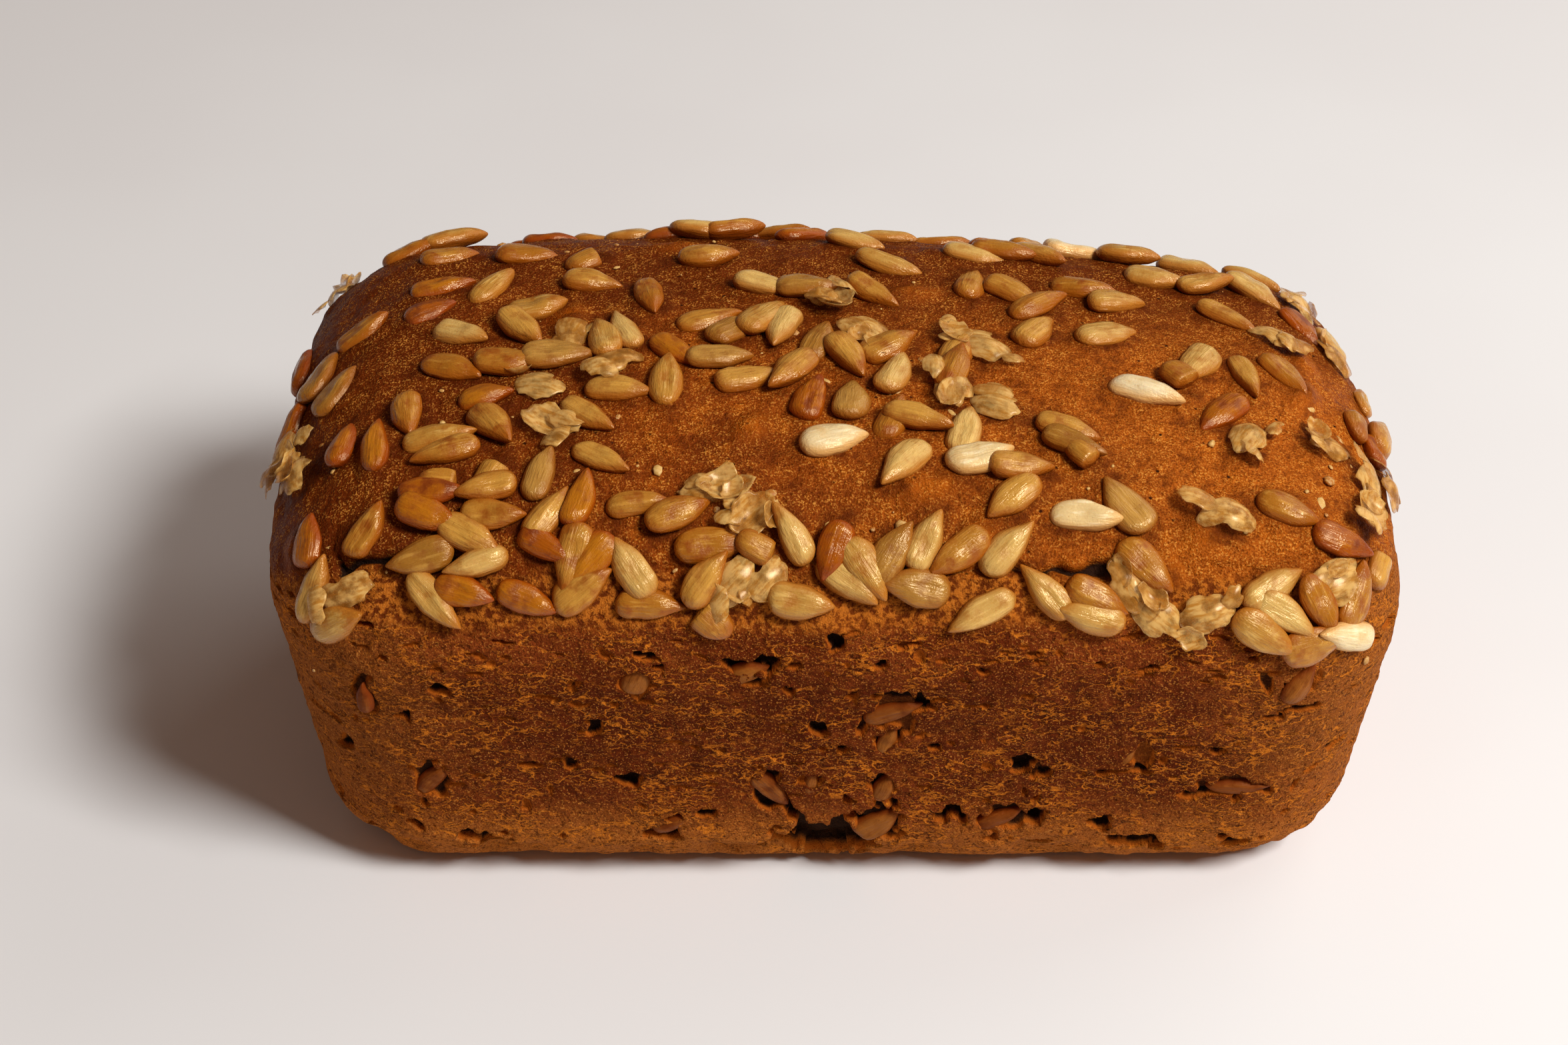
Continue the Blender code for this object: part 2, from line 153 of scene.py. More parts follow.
# Rows of kernels on the dome. u and v run from -1 to 1 over it, along and across. Each row has u, v and the
# heading in degrees of its first kernel and of its last, and a letter for the kind of each one: c cream,
# p pale, t tan, g grey, o toasted, d dark, b broken, h a flake of husk.
KERNEL_ROWS = (
    # The back edge
    (-0.775, 0.70, 5, -0.70, 0.59, 12, "tt"),
    (-0.73, 0.74, 15, -0.465, 0.78, -5, "pop"),
    (-0.65, 0.84, 8, -0.42, 0.85, -25, "opt"),
    (-0.595, 0.57, 0, -0.505, 0.55, 35, "tb"),
    (-0.39, 0.72, 0, -0.25, 0.70, 5, "dpt"),
    (-0.31, 0.81, 20, -0.15, 0.80, -18, "tot"),
    (-0.09, 0.71, 38, 0.05, 0.64, -30, "op"),
    (0.05, 0.80, 12, 0.12, 0.84, -5, "pd"),
    (0.125, 0.72, 0, 0.26, 0.80, -5, "pt"),
    (0.375, 0.77, 60, 0.60, 0.70, -20, "opcp"),
    (-0.70, 0.97, -40, 0.62, 0.97, 40, "tptottptto"),
    (-0.93, 0.78, 70, -0.86, 0.90, -50, "hb"),
    (0.90, 0.50, -68, 0.80, 0.76, -40, "php"),
    # The left-hand end
    (-0.955, 0.38, 72, -0.94, -0.16, 40, "oo"),
    (-0.86, 0.05, 55, -0.82, -0.17, 56, "gg"),
    (-0.925, -0.33, 80, -0.87, -0.54, 105, "hhh"),
    (-0.79, -0.50, 74, -0.745, -0.53, 84, "oo"),
    (-0.865, -0.74, 84, -0.865, -0.74, 84, "o"),
    (-0.905, -0.86, 66, -0.85, -0.86, 22, "ph"),
    (-0.91, -0.95, 30, -0.78, -0.72, 62, "pt"),
    # The left of the top
    (-0.79, 0.28, 12, -0.70, 0.29, 30, "td"),
    (-0.695, 0.43, 12, -0.635, 0.41, 48, "op"),
    (-0.665, 0.10, -24, -0.575, 0.285, 0, "pp"),
    (-0.58, 0.12, -62, -0.515, 0.04, 75, "th"),
    (-0.50, 0.42, 0, -0.405, 0.35, -74, "tt"),
    (-0.47, -0.03, 102, -0.43, 0.05, 108, "pp"),
    (-0.66, -0.21, -30, -0.54, -0.175, 10, "ttg"),
    (-0.625, -0.38, 8, -0.55, -0.33, -22, "oh"),
    (-0.45, -0.21, 25, -0.45, -0.37, 2, "ht"),
    (-0.70, -0.42, 280, -0.61, -0.49, -58, "tt"),
    (-0.675, -0.525, 17, -0.66, -0.565, 205, "pt"),
    (-0.605, -0.605, 60, -0.655, -0.635, 0, "bb"),
    (-0.69, -0.65, -10, -0.695, -0.70, -20, "oo"),
    (-0.62, -0.655, 192, -0.615, -0.70, 3, "tt"),
    (-0.54, -0.49, -30, -0.485, -0.45, -50, "ht"),
    (-0.47, -0.585, -36, -0.42, -0.69, 0, "tt"),
    (-0.55, -0.62, 76, -0.55, -0.70, 56, "gt"),
    # The front left
    (-0.65, -0.735, -35, -0.715, -0.78, 200, "tg"),
    (-0.655, -0.795, 200, -0.73, -0.87, -48, "pp"),
    (-0.69, -0.855, -8, -0.605, -0.868, -26, "oo"),
    (-0.525, -0.86, 30, -0.56, -0.765, -36, "to"),
    (-0.50, -0.675, 80, -0.52, -0.775, 251, "ot"),
    (-0.41, -0.89, -10, -0.495, -0.78, 236, "to"),
    (-0.42, -0.81, 120, -0.30, -0.905, 140, "pb"),
    (-0.35, -0.705, 15, -0.29, -0.76, -2, "tt"),
    (-0.30, -0.83, 55, -0.17, -0.83, 42, "thh"),
    (-0.17, -0.765, -20, -0.10, -0.87, -5, "bp"),
    # The middle of the top
    (-0.305, 0.54, 4, -0.18, 0.39, -18, "tp"),
    (-0.08, 0.365, -5, 0.00, 0.28, -72, "gh"),
    (0.13, 0.53, -18, 0.09, 0.38, -38, "pt"),
    (-0.30, 0.155, 25, -0.25, 0.04, 42, "tg"),
    (-0.175, 0.13, 60, -0.125, 0.07, 260, "pp"),
    (0.06, 0.06, -30, 0.12, -0.10, 25, "ht"),
    (-0.36, -0.13, -40, -0.27, -0.20, 8, "og"),
    (-0.36, -0.34, 88, -0.21, -0.31, 16, "pt"),
    (-0.055, -0.06, 72, -0.115, -0.28, 235, "gt"),
    (0.02, -0.17, -52, -0.065, -0.41, 85, "to"),
    (0.13, -0.28, 67, 0.02, -0.41, 86, "pg"),
    (0.12, -0.48, 62, 0.175, -0.48, -20, "tt"),
    (-0.02, -0.54, 8, 0.15, -0.59, 226, "cp"),
    (-0.25, -0.645, 5, -0.20, -0.70, 56, "hh"),
    # The middle of the front
    (0.01, -0.83, -40, 0.055, -0.80, -50, "pp"),
    (-0.11, -0.745, 120, -0.02, -0.765, 250, "po"),
    (0.11, -0.78, 50, 0.19, -0.76, 66, "gp"),
    (0.27, -0.77, 210, 0.35, -0.76, 53, "tp"),
    (0.175, -0.85, 175, 0.31, -0.91, 205, "gp"),
    # The right of the top
    (0.31, 0.44, 70, 0.38, 0.41, -28, "tt"),
    (0.32, 0.60, -8, 0.44, 0.62, -38, "ptt"),
    (0.50, 0.46, -8, 0.43, 0.31, 38, "tt"),
    (0.55, 0.39, 15, 0.53, 0.14, 30, "pp"),
    (0.62, 0.58, -8, 0.69, 0.57, 10, "pp"),
    (0.70, 0.40, -32, 0.76, 0.28, -46, "th"),
    (0.70, 0.71, -28, 0.88, 0.37, -72, "ppoh"),
    (0.42, 0.11, 54, 0.27, -0.10, 70, "tt"),
    (0.30, 0.00, 12, 0.33, -0.07, -22, "hh"),
    (0.26, -0.26, 80, 0.255, -0.36, 86, "th"),
    (0.64, -0.05, 240, 0.70, -0.12, -72, "pt"),
    (0.57, -0.30, -13, 0.755, -0.05, -50, "ct"),
    (0.62, -0.23, -42, 0.67, -0.385, 222, "bo"),
    (0.345, -0.415, -20, 0.70, -0.48, 62, "hh"),
    (0.27, -0.51, 80, 0.30, -0.58, 20, "pc"),
    (0.37, -0.60, -5, 0.37, -0.66, 223, "tt"),
    (0.45, -0.475, -20, 0.48, -0.585, -42, "tgb"),
    # The front right
    (0.48, -0.705, 0, 0.55, -0.68, 124, "cg"),
    (0.575, -0.79, -50, 0.56, -0.835, -56, "th"),
    (0.515, -0.865, -20, 0.435, -0.855, 135, "tp"),
    (0.52, -0.92, 175, 0.635, -0.93, -40, "ph"),
    (0.745, -0.675, -22, 0.67, -0.70, -10, "th"),
    (0.70, -0.915, 15, 0.765, -0.85, 41, "hp"),
    (0.81, -0.915, -26, 0.80, -0.97, -32, "pp"),
    # The right-hand end
    (0.84, -0.89, -58, 0.90, -0.88, 60, "tt"),
    (0.83, -0.735, -10, 0.86, -0.82, 20, "oh"),
    (0.81, -0.43, 10, 0.875, -0.52, -70, "hh"),
    (0.88, -0.65, 82, 0.93, -0.775, 62, "hb"),
    (0.885, -0.18, 86, 0.93, -0.28, 80, "bo"),
    (0.945, 0.20, 78, 0.955, -0.50, 86, "pth"),
    (0.895, -1.03, 12, 0.965, -1.02, 170, "tc"),
)
FAN_INSET_ALONG = 24 * MM
FAN_INSET_ACROSS = 22 * MM
FAN_HEIGHT = 45 * MM
FAN_LEAN = 2.2


def dome_points(u, v):
    """Points on the dome for u and v from -1 to 1. The rays fan out from a flat plate inside the loaf."""
    plate_length = RIM_HALF_LENGTH - FAN_INSET_ALONG
    plate_width = RIM_HALF_WIDTH - FAN_INSET_ACROSS
    origins = np.stack([u * plate_length, v * plate_width, np.full(len(u), FAN_HEIGHT)], axis=1)
    directions = np.stack([FAN_LEAN * u**3, FAN_LEAN * v**3, np.ones(len(u))], axis=1)
    directions /= np.linalg.norm(directions, axis=1)[:, None]
    return cast(origins, directions)


def overlap_with(discs, laid):
    """How far a kernel's three stand-in discs lie over those of the kernels already laid."""
    gaps = [(a - b).length for kernel in laid for a in discs for b in kernel["discs"]]
    return max(KERNEL_WIDTH - min(gaps, default=KERNEL_WIDTH), 0)


def row_of_kernels(row, draw):
    """u, v, heading and kind of each kernel in a row, evenly from first to last with a little stray."""
    u0, v0, heading0, u1, v1, heading1, kinds = row
    for number, kind in enumerate(kinds):
        share = number / max(len(kinds) - 1, 1)
        u = u0 + (u1 - u0) * share + draw.uniform(-1, 1) * PLACE_STRAY
        v = v0 + (v1 - v0) * share + draw.uniform(-1, 1) * PLACE_STRAY
        heading = heading0 + (heading1 - heading0) * share + draw.uniform(-1, 1) * HEADING_STRAY
        yield u, v, math.radians(heading), kind


def lay_kernels():
    """Places every kernel, row by row. One that lies over others is lifted on to them."""
    draw = random.Random(LAYOUT_SEED)
    laid = []
    for row in KERNEL_ROWS:
        for u, v, heading, kind in row_of_kernels(row, draw):
            place = Vector(dome_points(np.array([u]), np.array([v]))[0])
            normal = Vector(outward(np.array([place]))[0])
            side = normal.cross(Vector((1, 0, 0))).normalized()
            axis = side.cross(normal) * math.cos(heading) + side * math.sin(heading)
            long, wide, thick = (s * (1 + draw.uniform(-1, 1) * KERNEL_SPREAD) for s in KERNEL_KINDS[kind])
            size = Vector((KERNEL_LENGTH * long, KERNEL_WIDTH * wide, KERNEL_THICKNESS * thick))
            discs = [place + axis * (size.x * share) for share in DISCS_AT]
            lift = max(overlap_with(discs, laid) - FREE_OVERLAP, 0) * LIFT_PER_OVERLAP
            stand_off = loaf_field(np.array([discs[0], discs[2]])).mean()
            kernel = dict(place=place, normal=normal, axis=axis, discs=discs, size=size, kind=kind)
            kernel["lift"] = min(lift, MOST_LIFT * size.z) - max(stand_off, 0)
            kernel["tilt"] = math.radians(draw.uniform(-1, 1) * KERNEL_TILT)
            laid.append(kernel)
    return laid


kernels = lay_kernels()


# The crust. The tin's wall left a dry crackled skin with pocks and gaps, where gas and coarse grain lay
# against the metal. Above the rim the skin is smoother and redder, torn in a thin break along the front
# shoulder, and drawn up a little round each kernel. It is one skin, cut into five meshes.

SKIN_FACES = (420, 140, 180)
SKIN_HEART = 33 * MM
NOISE_CELLS = 48
NOISE_SEED = 3

# Chance relief, as layers: height and size of the lumps in millimetres, and a shift that sets layers apart
DOME_LUMPS = ((0.50, 21, 0), (0.32, 8.5, 1), (0.17, 2.6, 0), (0.09, 1.2, 2))
TIN_LUMPS = ((0.30, 17, 0), (0.20, 5, 1), (0.18, 2.1, 3), (0.14, 1.0, 4))
STRIP_LUMPS = ((0.22, 2.4, 7), (0.10, 1.1, 8))
SEAM_WANDER = ((1.6, 9, 5), (0.9, 2.6, 0))

BASE_FACING = (0.9, 0.99)
RIM_DROP = 1.5 * MM
RIM_WANDER = 1.6 * MM
RIM_WANDER_SIZE = 11 * MM
RIM_FADE_UNDER = 1.2 * MM
RIM_FADE_OVER = 1.8 * MM
RIM_RIDGE = 0.35 * MM
RIM_RIDGE_REACH = 1.6 * MM
BREAK_V = 0.80
BREAK_STEPS = 81
BREAK_HALF_LENGTH = 74 * MM
BREAK_FROM_MIDDLE = (30 * MM, 38 * MM)
BREAK_OPEN_SIZE = 17 * MM
BREAK_OPEN = (-0.35, 0.15)
BREAK_DEPTH = 2.1 * MM
BREAK_REACH = 0.62 * MM
BREAK_LIP = 0.5 * MM
BREAK_LIP_ABOVE = 1.7 * MM
BREAK_LIP_REACH = 0.9 * MM
STRIP_FADE = 1.5 * MM
STRIP_SUNK = 0.15
EDGE_WAVES = 2.4
EDGE_WAVES_LEAST = 0.12
EDGE_WAVES_AT = 6.5 * MM
EDGE_WAVES_REACH = 4.0 * MM
COLLAR_EDGE = 0.95
COLLAR_HEIGHT = 0.38 * MM
COLLAR_REACH = 1.1 * MM
COLLAR_SEARCH = 9 * MM

# Pocks and gaps on the front of the tin side: x and z of the middle, width, height and depth, in millimetres
FRONT_POCKS = (
    (-59.5, 44.4, 3.3, 3.0, 2.2),
    (-65.3, 38.7, 2.7, 2.4, 1.8),
    (-28.4, 51.4, 3.4, 1.9, 1.9),
    (-26.9, 49.8, 1.6, 2.6, 1.8),
    (-72.6, 9.5, 3.3, 1.9, 1.6),
    (-65.5, 12.8, 2.7, 1.8, 1.5),
    (-56.1, 10.6, 6.0, 2.8, 2.8),
    (-32.0, 23.4, 3.2, 2.6, 2.1),
    (-33.6, 24.2, 1.8, 1.5, 1.6),
    (-27.2, 12.0, 6.2, 3.6, 2.8),
    (-47.3, 28.2, 2.7, 1.4, 1.3),
    (-13.8, 49.6, 6.2, 2.6, 2.1),
    (-13.2, 46.2, 2.6, 1.4, 1.5),
    (-3.1, 36.5, 2.6, 1.9, 1.6),
    (6.8, 43.2, 5.4, 1.2, 1.7),
    (10.0, 42.6, 3.6, 1.1, 1.5),
    (7.8, 39.4, 8.4, 6.6, 1.0),
    (12.2, 41.8, 1.9, 4.4, 2.0),
    (0.7, 31.8, 1.9, 1.6, 1.5),
    (3.4, 36.6, 2.4, 3.4, 1.2),
    (14.5, 31.5, 2.2, 1.5, 1.5),
    (-10.6, 21.2, 4.8, 9.0, 1.9),
    (-8.2, 18.4, 2.2, 3.6, 2.2),
    (-3.6, 23.4, 2.2, 2.6, 1.8),
    (6.8, 22.5, 4.2, 5.0, 1.5),
    (7.1, 33.0, 3.6, 3.4, 1.4),
    (5.9, 13.4, 6.4, 6.6, 1.3),
    (14.2, 42.0, 4.6, 0.8, 1.1),
    (20.6, 41.0, 5.6, 0.9, 1.2),
    (28.0, 42.9, 1.7, 0.9, 1.2),
    (6.2, 49.6, 2.0, 1.5, 1.6),
    (-0.5, 54.0, 2.6, 2.0, 1.8),
    (45.5, 48.6, 2.8, 0.9, 1.2),
    (57.3, 30.2, 2.2, 1.1, 1.3),
    (25.0, 14.8, 4.6, 4.4, 1.1),
    (46.8, 8.4, 4.2, 1.6, 1.6),
    (31.5, 8.8, 3.4, 1.4, 1.5),
    (-52.0, 8.3, 7.4, 2.4, 2.0),
    (-83.0, 30.0, 3.0, 3.0, 1.6),
    (-1.6, 9.6, 13.0, 11.0, 3.6),
    (-3.6, 10.6, 6.0, 7.0, 3.6),
    (1.4, 11.4, 6.4, 6.4, 3.6),
    (27.7, 27.7, 3.6, 2.2, 2.2),
    (31.4, 25.6, 1.7, 1.2, 1.5),
    (18.0, 15.8, 5.2, 3.0, 2.6),
    (26.2, 15.2, 5.4, 6.0, 1.2),
    (30.6, 15.6, 2.2, 6.8, 3.0),
    (-19.8, 16.6, 2.4, 2.0, 1.6),
    (-25.6, 15.4, 2.8, 1.6, 1.4),
    (43.4, 26.0, 8.4, 1.1, 1.5),
    (46.4, 29.6, 3.6, 3.6, 0.9),
    (75.9, 27.4, 2.4, 1.9, 1.9),
    (72.2, 24.7, 1.6, 1.5, 1.5),
    (70.6, 21.5, 1.8, 1.5, 1.5),
    (57.2, 30.5, 2.6, 1.4, 1.5),
    (68.5, 39.0, 6.4, 1.2, 1.8),
    (64.6, 37.6, 2.6, 1.0, 1.4),
    (61.0, 22.4, 10.2, 2.8, 1.1),
    (55.4, 21.0, 4.4, 1.1, 1.6),
    (40.6, 13.5, 3.6, 2.0, 2.0),
    (47.7, 9.8, 7.0, 2.2, 2.2),
    (62.1, 9.4, 5.8, 2.1, 2.0),
    (-71.0, 41.8, 3.6, 6.8, 1.1),
    (-62.0, 23.7, 6.2, 6.2, 1.2),
    (68.4, 44.6, 5.4, 4.6, 0.9),
    (-30.4, 46.4, 4.4, 4.6, 0.9),
)
POCK_SEED = 5
POCK_SEARCH = 9 * MM
POCK_BRIM = (0.80, 1.16)
POCK_LEAST_RAGGED = 0.45
POCK_WANDER = 1.4
POCK_MOST_DRIFT = 1.2 * MM
POCK_LIP = 0.12 * MM
POCK_LIP_AT = 1.30
POCK_LIP_REACH = 0.16
DARK_POCK_DEPTH = 1.9 * MM

# Chance pocks round the whole tin side, in millimetres: height over the base, width as the middle and spread
# of its logarithm, and greatest width. Half the height and the depth are shares of the width.
SMALL_POCKS = 420
SMALL_POCK_HEIGHTS = (5, 53)
SMALL_POCK_WIDTH = (0.05, 0.4)
SMALL_POCK_WIDEST = 2.6
SMALL_POCK_TALL = (0.3, 0.6)
SMALL_POCK_DEEP = (0.45, 0.7)

# Short level cracks in the dry skin, in millimetres: two ranges of heights over the base, and the ranges of
# half width, half height and depth
DRY_CRACKS = 260
CRACK_HEIGHTS = ((20, 54), (47, 55.5))
CRACK_SIZES = ((0.5, 1.7), (0.20, 0.40), (0.5, 1.0))

# Kernels that lay against the tin and show in its wall: x, z, heading in degrees, length and width as shares
WALL_KERNELS = (
    (-71.0, 41.6, 88, 0.62, 0.55),
    (-62.0, 23.7, 52, 0.80, 0.74),
    (-30.4, 46.2, 70, 0.62, 0.86),
    (-13.6, 47.6, 20, 0.60, 0.80),
    (-10.6, 21.4, -52, 0.86, 0.62),
    (-4.2, 23.2, 80, 0.60, 0.55),
    (-26.0, 13.4, 25, 0.70, 0.60),
    (7.6, 38.6, 22, 0.92, 0.80),
    (7.3, 32.6, 70, 0.60, 0.60),
    (7.0, 21.6, 70, 0.62, 0.62),
    (5.9, 13.2, 40, 0.86, 1.05),
    (24.6, 14.6, 30, 0.80, 0.60),
    (43.4, 28.6, 62, 0.62, 0.66),
    (61.0, 22.2, 0, 1.02, 0.50),
    (68.4, 44.4, 62, 0.72, 0.82),
    (-46.0, 36.5, 60, 0.50, 0.55),
)
WALL_KERNEL_SUNK = 0.62

# Kernels under the dome's skin, which is thin and orange over them: u, v, heading in degrees, length share
COVERED_KERNELS = (
    (0.19, -0.65, 20, 1.1),
    (0.65, -0.73, 85, 1.2),
    (0.19, 0.39, 10, 1.0),
    (0.62, -0.81, 70, 0.9),
    (0.76, -0.66, 30, 1.0),
    (-0.745, -0.53, 84, 1.0),
    (-0.90, -0.75, 70, 1.0),
    (-0.02, -0.93, 5, 0.9),
    (0.78, -0.20, 60, 1.0),
    (0.47, -0.82, 15, 0.8),
    (0.30, -0.74, 70, 0.7),
    (-0.36, 0.62, 20, 0.9),
    (-0.52, 0.22, 70, 0.8),
    (-0.20, -0.50, 60, 0.8),
    (0.80, 0.15, 75, 0.9),
    (0.02, 0.92, 15, 1.0),
    (-0.50, 0.93, -30, 1.0),
)
COVERED_HEIGHT = 0.95 * MM
COVERED_SEARCH = 12 * MM
COVERED_SLOPE = (0.2, 1.25)

noise_table = np.random.default_rng(NOISE_SEED).random((NOISE_CELLS,) * 3) * 2 - 1


def lumps(points, size):
    """Smooth chance relief from -1 to 1 with lumps of about this size."""
    scaled = points / size
    cell = np.floor(scaled).astype(int)
    part = scaled - cell
    part = part * part * (3 - 2 * part)
    total = np.zeros(len(points))
    for corner in np.ndindex(2, 2, 2):
        weight = np.prod(np.where(np.array(corner) == 1, part, 1 - part), axis=1)
        index = (cell + np.array(corner)) % NOISE_CELLS
        total += weight * noise_table[index[:, 0], index[:, 1], index[:, 2]]
    return total


def mixed_lumps(points, layers):
    """Lumps of several heights and sizes, both in millimetres, added up."""
    return sum(height * lumps(points + shift, size * MM) for height, size, shift in layers)


def smooth_step(values, low, high):
    share = np.clip((values - low) / (high - low), 0, 1)
    return share * share * (3 - 2 * share)


def wall_place(draw):
    """A chance place round the tin side, as x and y on the rectangle of its rim."""
    turn = draw.uniform(0, math.tau)
    reach = np.array([math.cos(turn) * RIM_HALF_LENGTH, math.sin(turn) * RIM_HALF_WIDTH])
    return reach * (1 / max(abs(math.cos(turn)), abs(math.sin(turn))))


def pock_shapes():
    """Each pock as its middle on the wall, its half width and half height, and its depth."""
    front = np.array(FRONT_POCKS) * MM
    middles = np.stack([front[:, 0], np.full(len(front), -RIM_HALF_WIDTH), front[:, 1]], axis=1)
    pocks = [(m, w / 2, h / 2, d) for m, (w, h, d) in zip(middles, front[:, 2:])]
    draw = random.Random(POCK_SEED)
    for _ in range(SMALL_POCKS):
        place = wall_place(draw)
        middle = np.append(place, draw.uniform(*SMALL_POCK_HEIGHTS) * MM)
        width = min(draw.lognormvariate(*SMALL_POCK_WIDTH), SMALL_POCK_WIDEST) * MM
        tall, deep = draw.uniform(*SMALL_POCK_TALL), draw.uniform(*SMALL_POCK_DEEP)
        pocks.append((middle, width / 2, width * tall, width * deep))
    for _ in range(DRY_CRACKS):
        place = wall_place(draw)
        height = draw.choice([draw.uniform(*heights) for heights in CRACK_HEIGHTS])
        pocks.append((np.append(place, height * MM), *(draw.uniform(*size) * MM for size in CRACK_SIZES)))
    return pocks


def skin_relief(points, normals):
    """How far the skin stands out from the smooth form, and the masks that its colours follow."""
    x, y, z = points.T
    rim = RIM_HEIGHT - RIM_DROP + RIM_WANDER * lumps(points, RIM_WANDER_SIZE)
    tin = 1 - smooth_step(z, rim - RIM_FADE_UNDER, rim + RIM_FADE_OVER)
    base = smooth_step(-normals[:, 2], *BASE_FACING)
    dome_out, tin_out = mixed_lumps(points, DOME_LUMPS), mixed_lumps(points, TIN_LUMPS)
    out = (dome_out * (1 - tin) + tin_out * tin) * MM * (1 - base)
    out += RIM_RIDGE * hump(z - rim, RIM_RIDGE_REACH)

    # The break: a torn seam along the front shoulder, with a rougher strip under it
    seam = dome_points(np.linspace(-1, 1, BREAK_STEPS), np.full(BREAK_STEPS, -BREAK_V))
    seam_z = np.interp(x, seam[:, 0], seam[:, 2]) + mixed_lumps(points, SEAM_WANDER) * MM
    front = smooth_step(-y, *BREAK_FROM_MIDDLE)
    opened = smooth_step(lumps(points + 6, BREAK_OPEN_SIZE), *BREAK_OPEN)
    opened = opened * front * (np.abs(x) < BREAK_HALF_LENGTH)
    gap = hump(z - seam_z, BREAK_REACH * (1 + 0.6 * lumps(points, 1.7 * MM))) * opened
    strip = smooth_step(seam_z - z, 0, STRIP_FADE) * (1 - tin) * front
    out -= BREAK_DEPTH * gap
    out += BREAK_LIP * hump(z - seam_z - BREAK_LIP_ABOVE, BREAK_LIP_REACH) * opened
    out += strip * (mixed_lumps(points, STRIP_LUMPS) - STRIP_SUNK) * MM

    # Pocks: sharp-sided hollows with a ragged outline and a lip that stands out a little
    pock = np.zeros(len(points))
    ragged = 1 + 0.45 * lumps(points + 9, 1.3 * MM) + 0.40 * lumps(points + 10, 2.8 * MM)
    ragged = np.maximum(ragged, POCK_LEAST_RAGGED)
    wander = POCK_WANDER * lumps(points + 11, 2.2 * MM)
    for middle, half_width, half_height, depth in pock_shapes():
        near = np.where(np.abs(z - middle[2]) < 3 * half_height + 0.6 * MM)[0]
        sideways_off = np.linalg.norm(points[near, :2] - middle[:2], axis=1)
        near = near[sideways_off < POCK_SEARCH + 2 * half_width]
        if abs(middle[1]) >= abs(middle[0]) * RIM_HALF_WIDTH / RIM_HALF_LENGTH:
            sideways, facing = x[near] - middle[0], y[near] * middle[1] > 0
        else:
            sideways, facing = y[near] - middle[1], x[near] * middle[0] > 0
        drift = wander[near] * min(half_height, POCK_MOST_DRIFT)
        spread = np.hypot(sideways / half_width, (z[near] - middle[2] + drift) / half_height) * ragged[near]
        hollow = (1 - smooth_step(spread, *POCK_BRIM)) * facing * (1 - base[near])
        lip = hump(spread - POCK_LIP_AT, POCK_LIP_REACH) * facing
        out[near] = np.minimum(out[near], out[near] * (1 - hollow) - depth * hollow) + POCK_LIP * lip
        pock[near] = np.maximum(pock[near], hollow * min(depth / DARK_POCK_DEPTH, 1))

    # The base's edge: small waves where the dough stopped short of the tin's corner
    low_edge = hump(z - EDGE_WAVES_AT, EDGE_WAVES_REACH) * (1 - base)
    waves = EDGE_WAVES * np.maximum(lumps(points + 12, 6 * MM) - EDGE_WAVES_LEAST, 0)
    waves = waves + 0.3 * lumps(points, 3 * MM)
    out -= low_edge * waves * MM

    # Covered kernels: lengthwise bumps under the skin
    covered = np.zeros(len(points))
    for u, v, heading, long in COVERED_KERNELS:
        away = points - dome_points(np.array([u]), np.array([v]))[0]
        ahead = np.array([math.cos(math.radians(heading)), math.sin(math.radians(heading)), 0])
        near = np.where(np.linalg.norm(away, axis=1) < COVERED_SEARCH)[0]
        lengthways = away[near, 0] * ahead[0] + away[near, 1] * ahead[1]
        crossways = np.linalg.norm(away[near] - lengthways[:, None] * ahead, axis=1)
        spread = np.hypot(lengthways / (KERNEL_LENGTH * long / 2), crossways / (KERNEL_WIDTH / 2))
        covered[near] = np.maximum(covered[near], 1 - smooth_step(spread, *COVERED_SLOPE))
    out += covered * COVERED_HEIGHT * (1 - 0.3 * np.abs(lumps(points, 2 * MM)))

    # Collars: the skin is drawn up round each kernel
    collar = np.zeros(len(points))
    for kernel in kernels:
        place, axis, size = np.array(kernel["place"]), np.array(kernel["axis"]), kernel["size"]
        across = np.array(kernel["normal"].cross(kernel["axis"]))
        near = np.where(np.linalg.norm(points - place, axis=1) < COLLAR_SEARCH)[0]
        apart = points[near] - place
        span = np.hypot(apart @ axis / (size.x / 2), apart @ across / (size.y / 2))
        edge = np.maximum((span - COLLAR_EDGE) * size.y / 2, 0)
        collar[near] = np.maximum(collar[near], hump(edge, COLLAR_REACH))
    out += collar * COLLAR_HEIGHT * (1 - tin)
    return out, {"tin": tin, "pock": pock, "gap": gap, "strip": strip, "collar": collar, "covered": covered}


def make_skin():
    """A finely divided box whose points are cast out to the loaf's surface and then pushed by the relief."""
    bm = bmesh.new()
    bmesh.ops.create_cube(bm, size=2)
    for axis, faces in enumerate(SKIN_FACES):
        edges = [e for e in bm.edges if abs((e.verts[0].co - e.verts[1].co)[axis]) > 1]
        bmesh.ops.subdivide_edges(bm, edges=edges, cuts=faces - 1, use_grid_fill=True)
    mesh = bpy.data.meshes.new("skin")
    bm.to_mesh(mesh)
    bm.free()
    corners = np.empty(len(mesh.vertices) * 3)
    mesh.vertices.foreach_get("co", corners)
    directions = corners.reshape(-1, 3) * np.array([RIM_HALF_LENGTH, RIM_HALF_WIDTH, CROWN_HEIGHT / 2])
    directions /= np.linalg.norm(directions, axis=1)[:, None]
    points = cast(np.repeat([[0, 0, SKIN_HEART]], len(directions), axis=0), directions)
    normals = outward(points)
    out, masks = skin_relief(points, normals)
    points = points + normals * out[:, None]
    points[:, 2] = np.maximum(points[:, 2], 0)
    quads = np.empty(len(mesh.polygons) * 4, int)
    mesh.polygons.foreach_get("vertices", quads)
    bpy.data.meshes.remove(mesh)
    return points, quads.reshape(-1, 4), masks


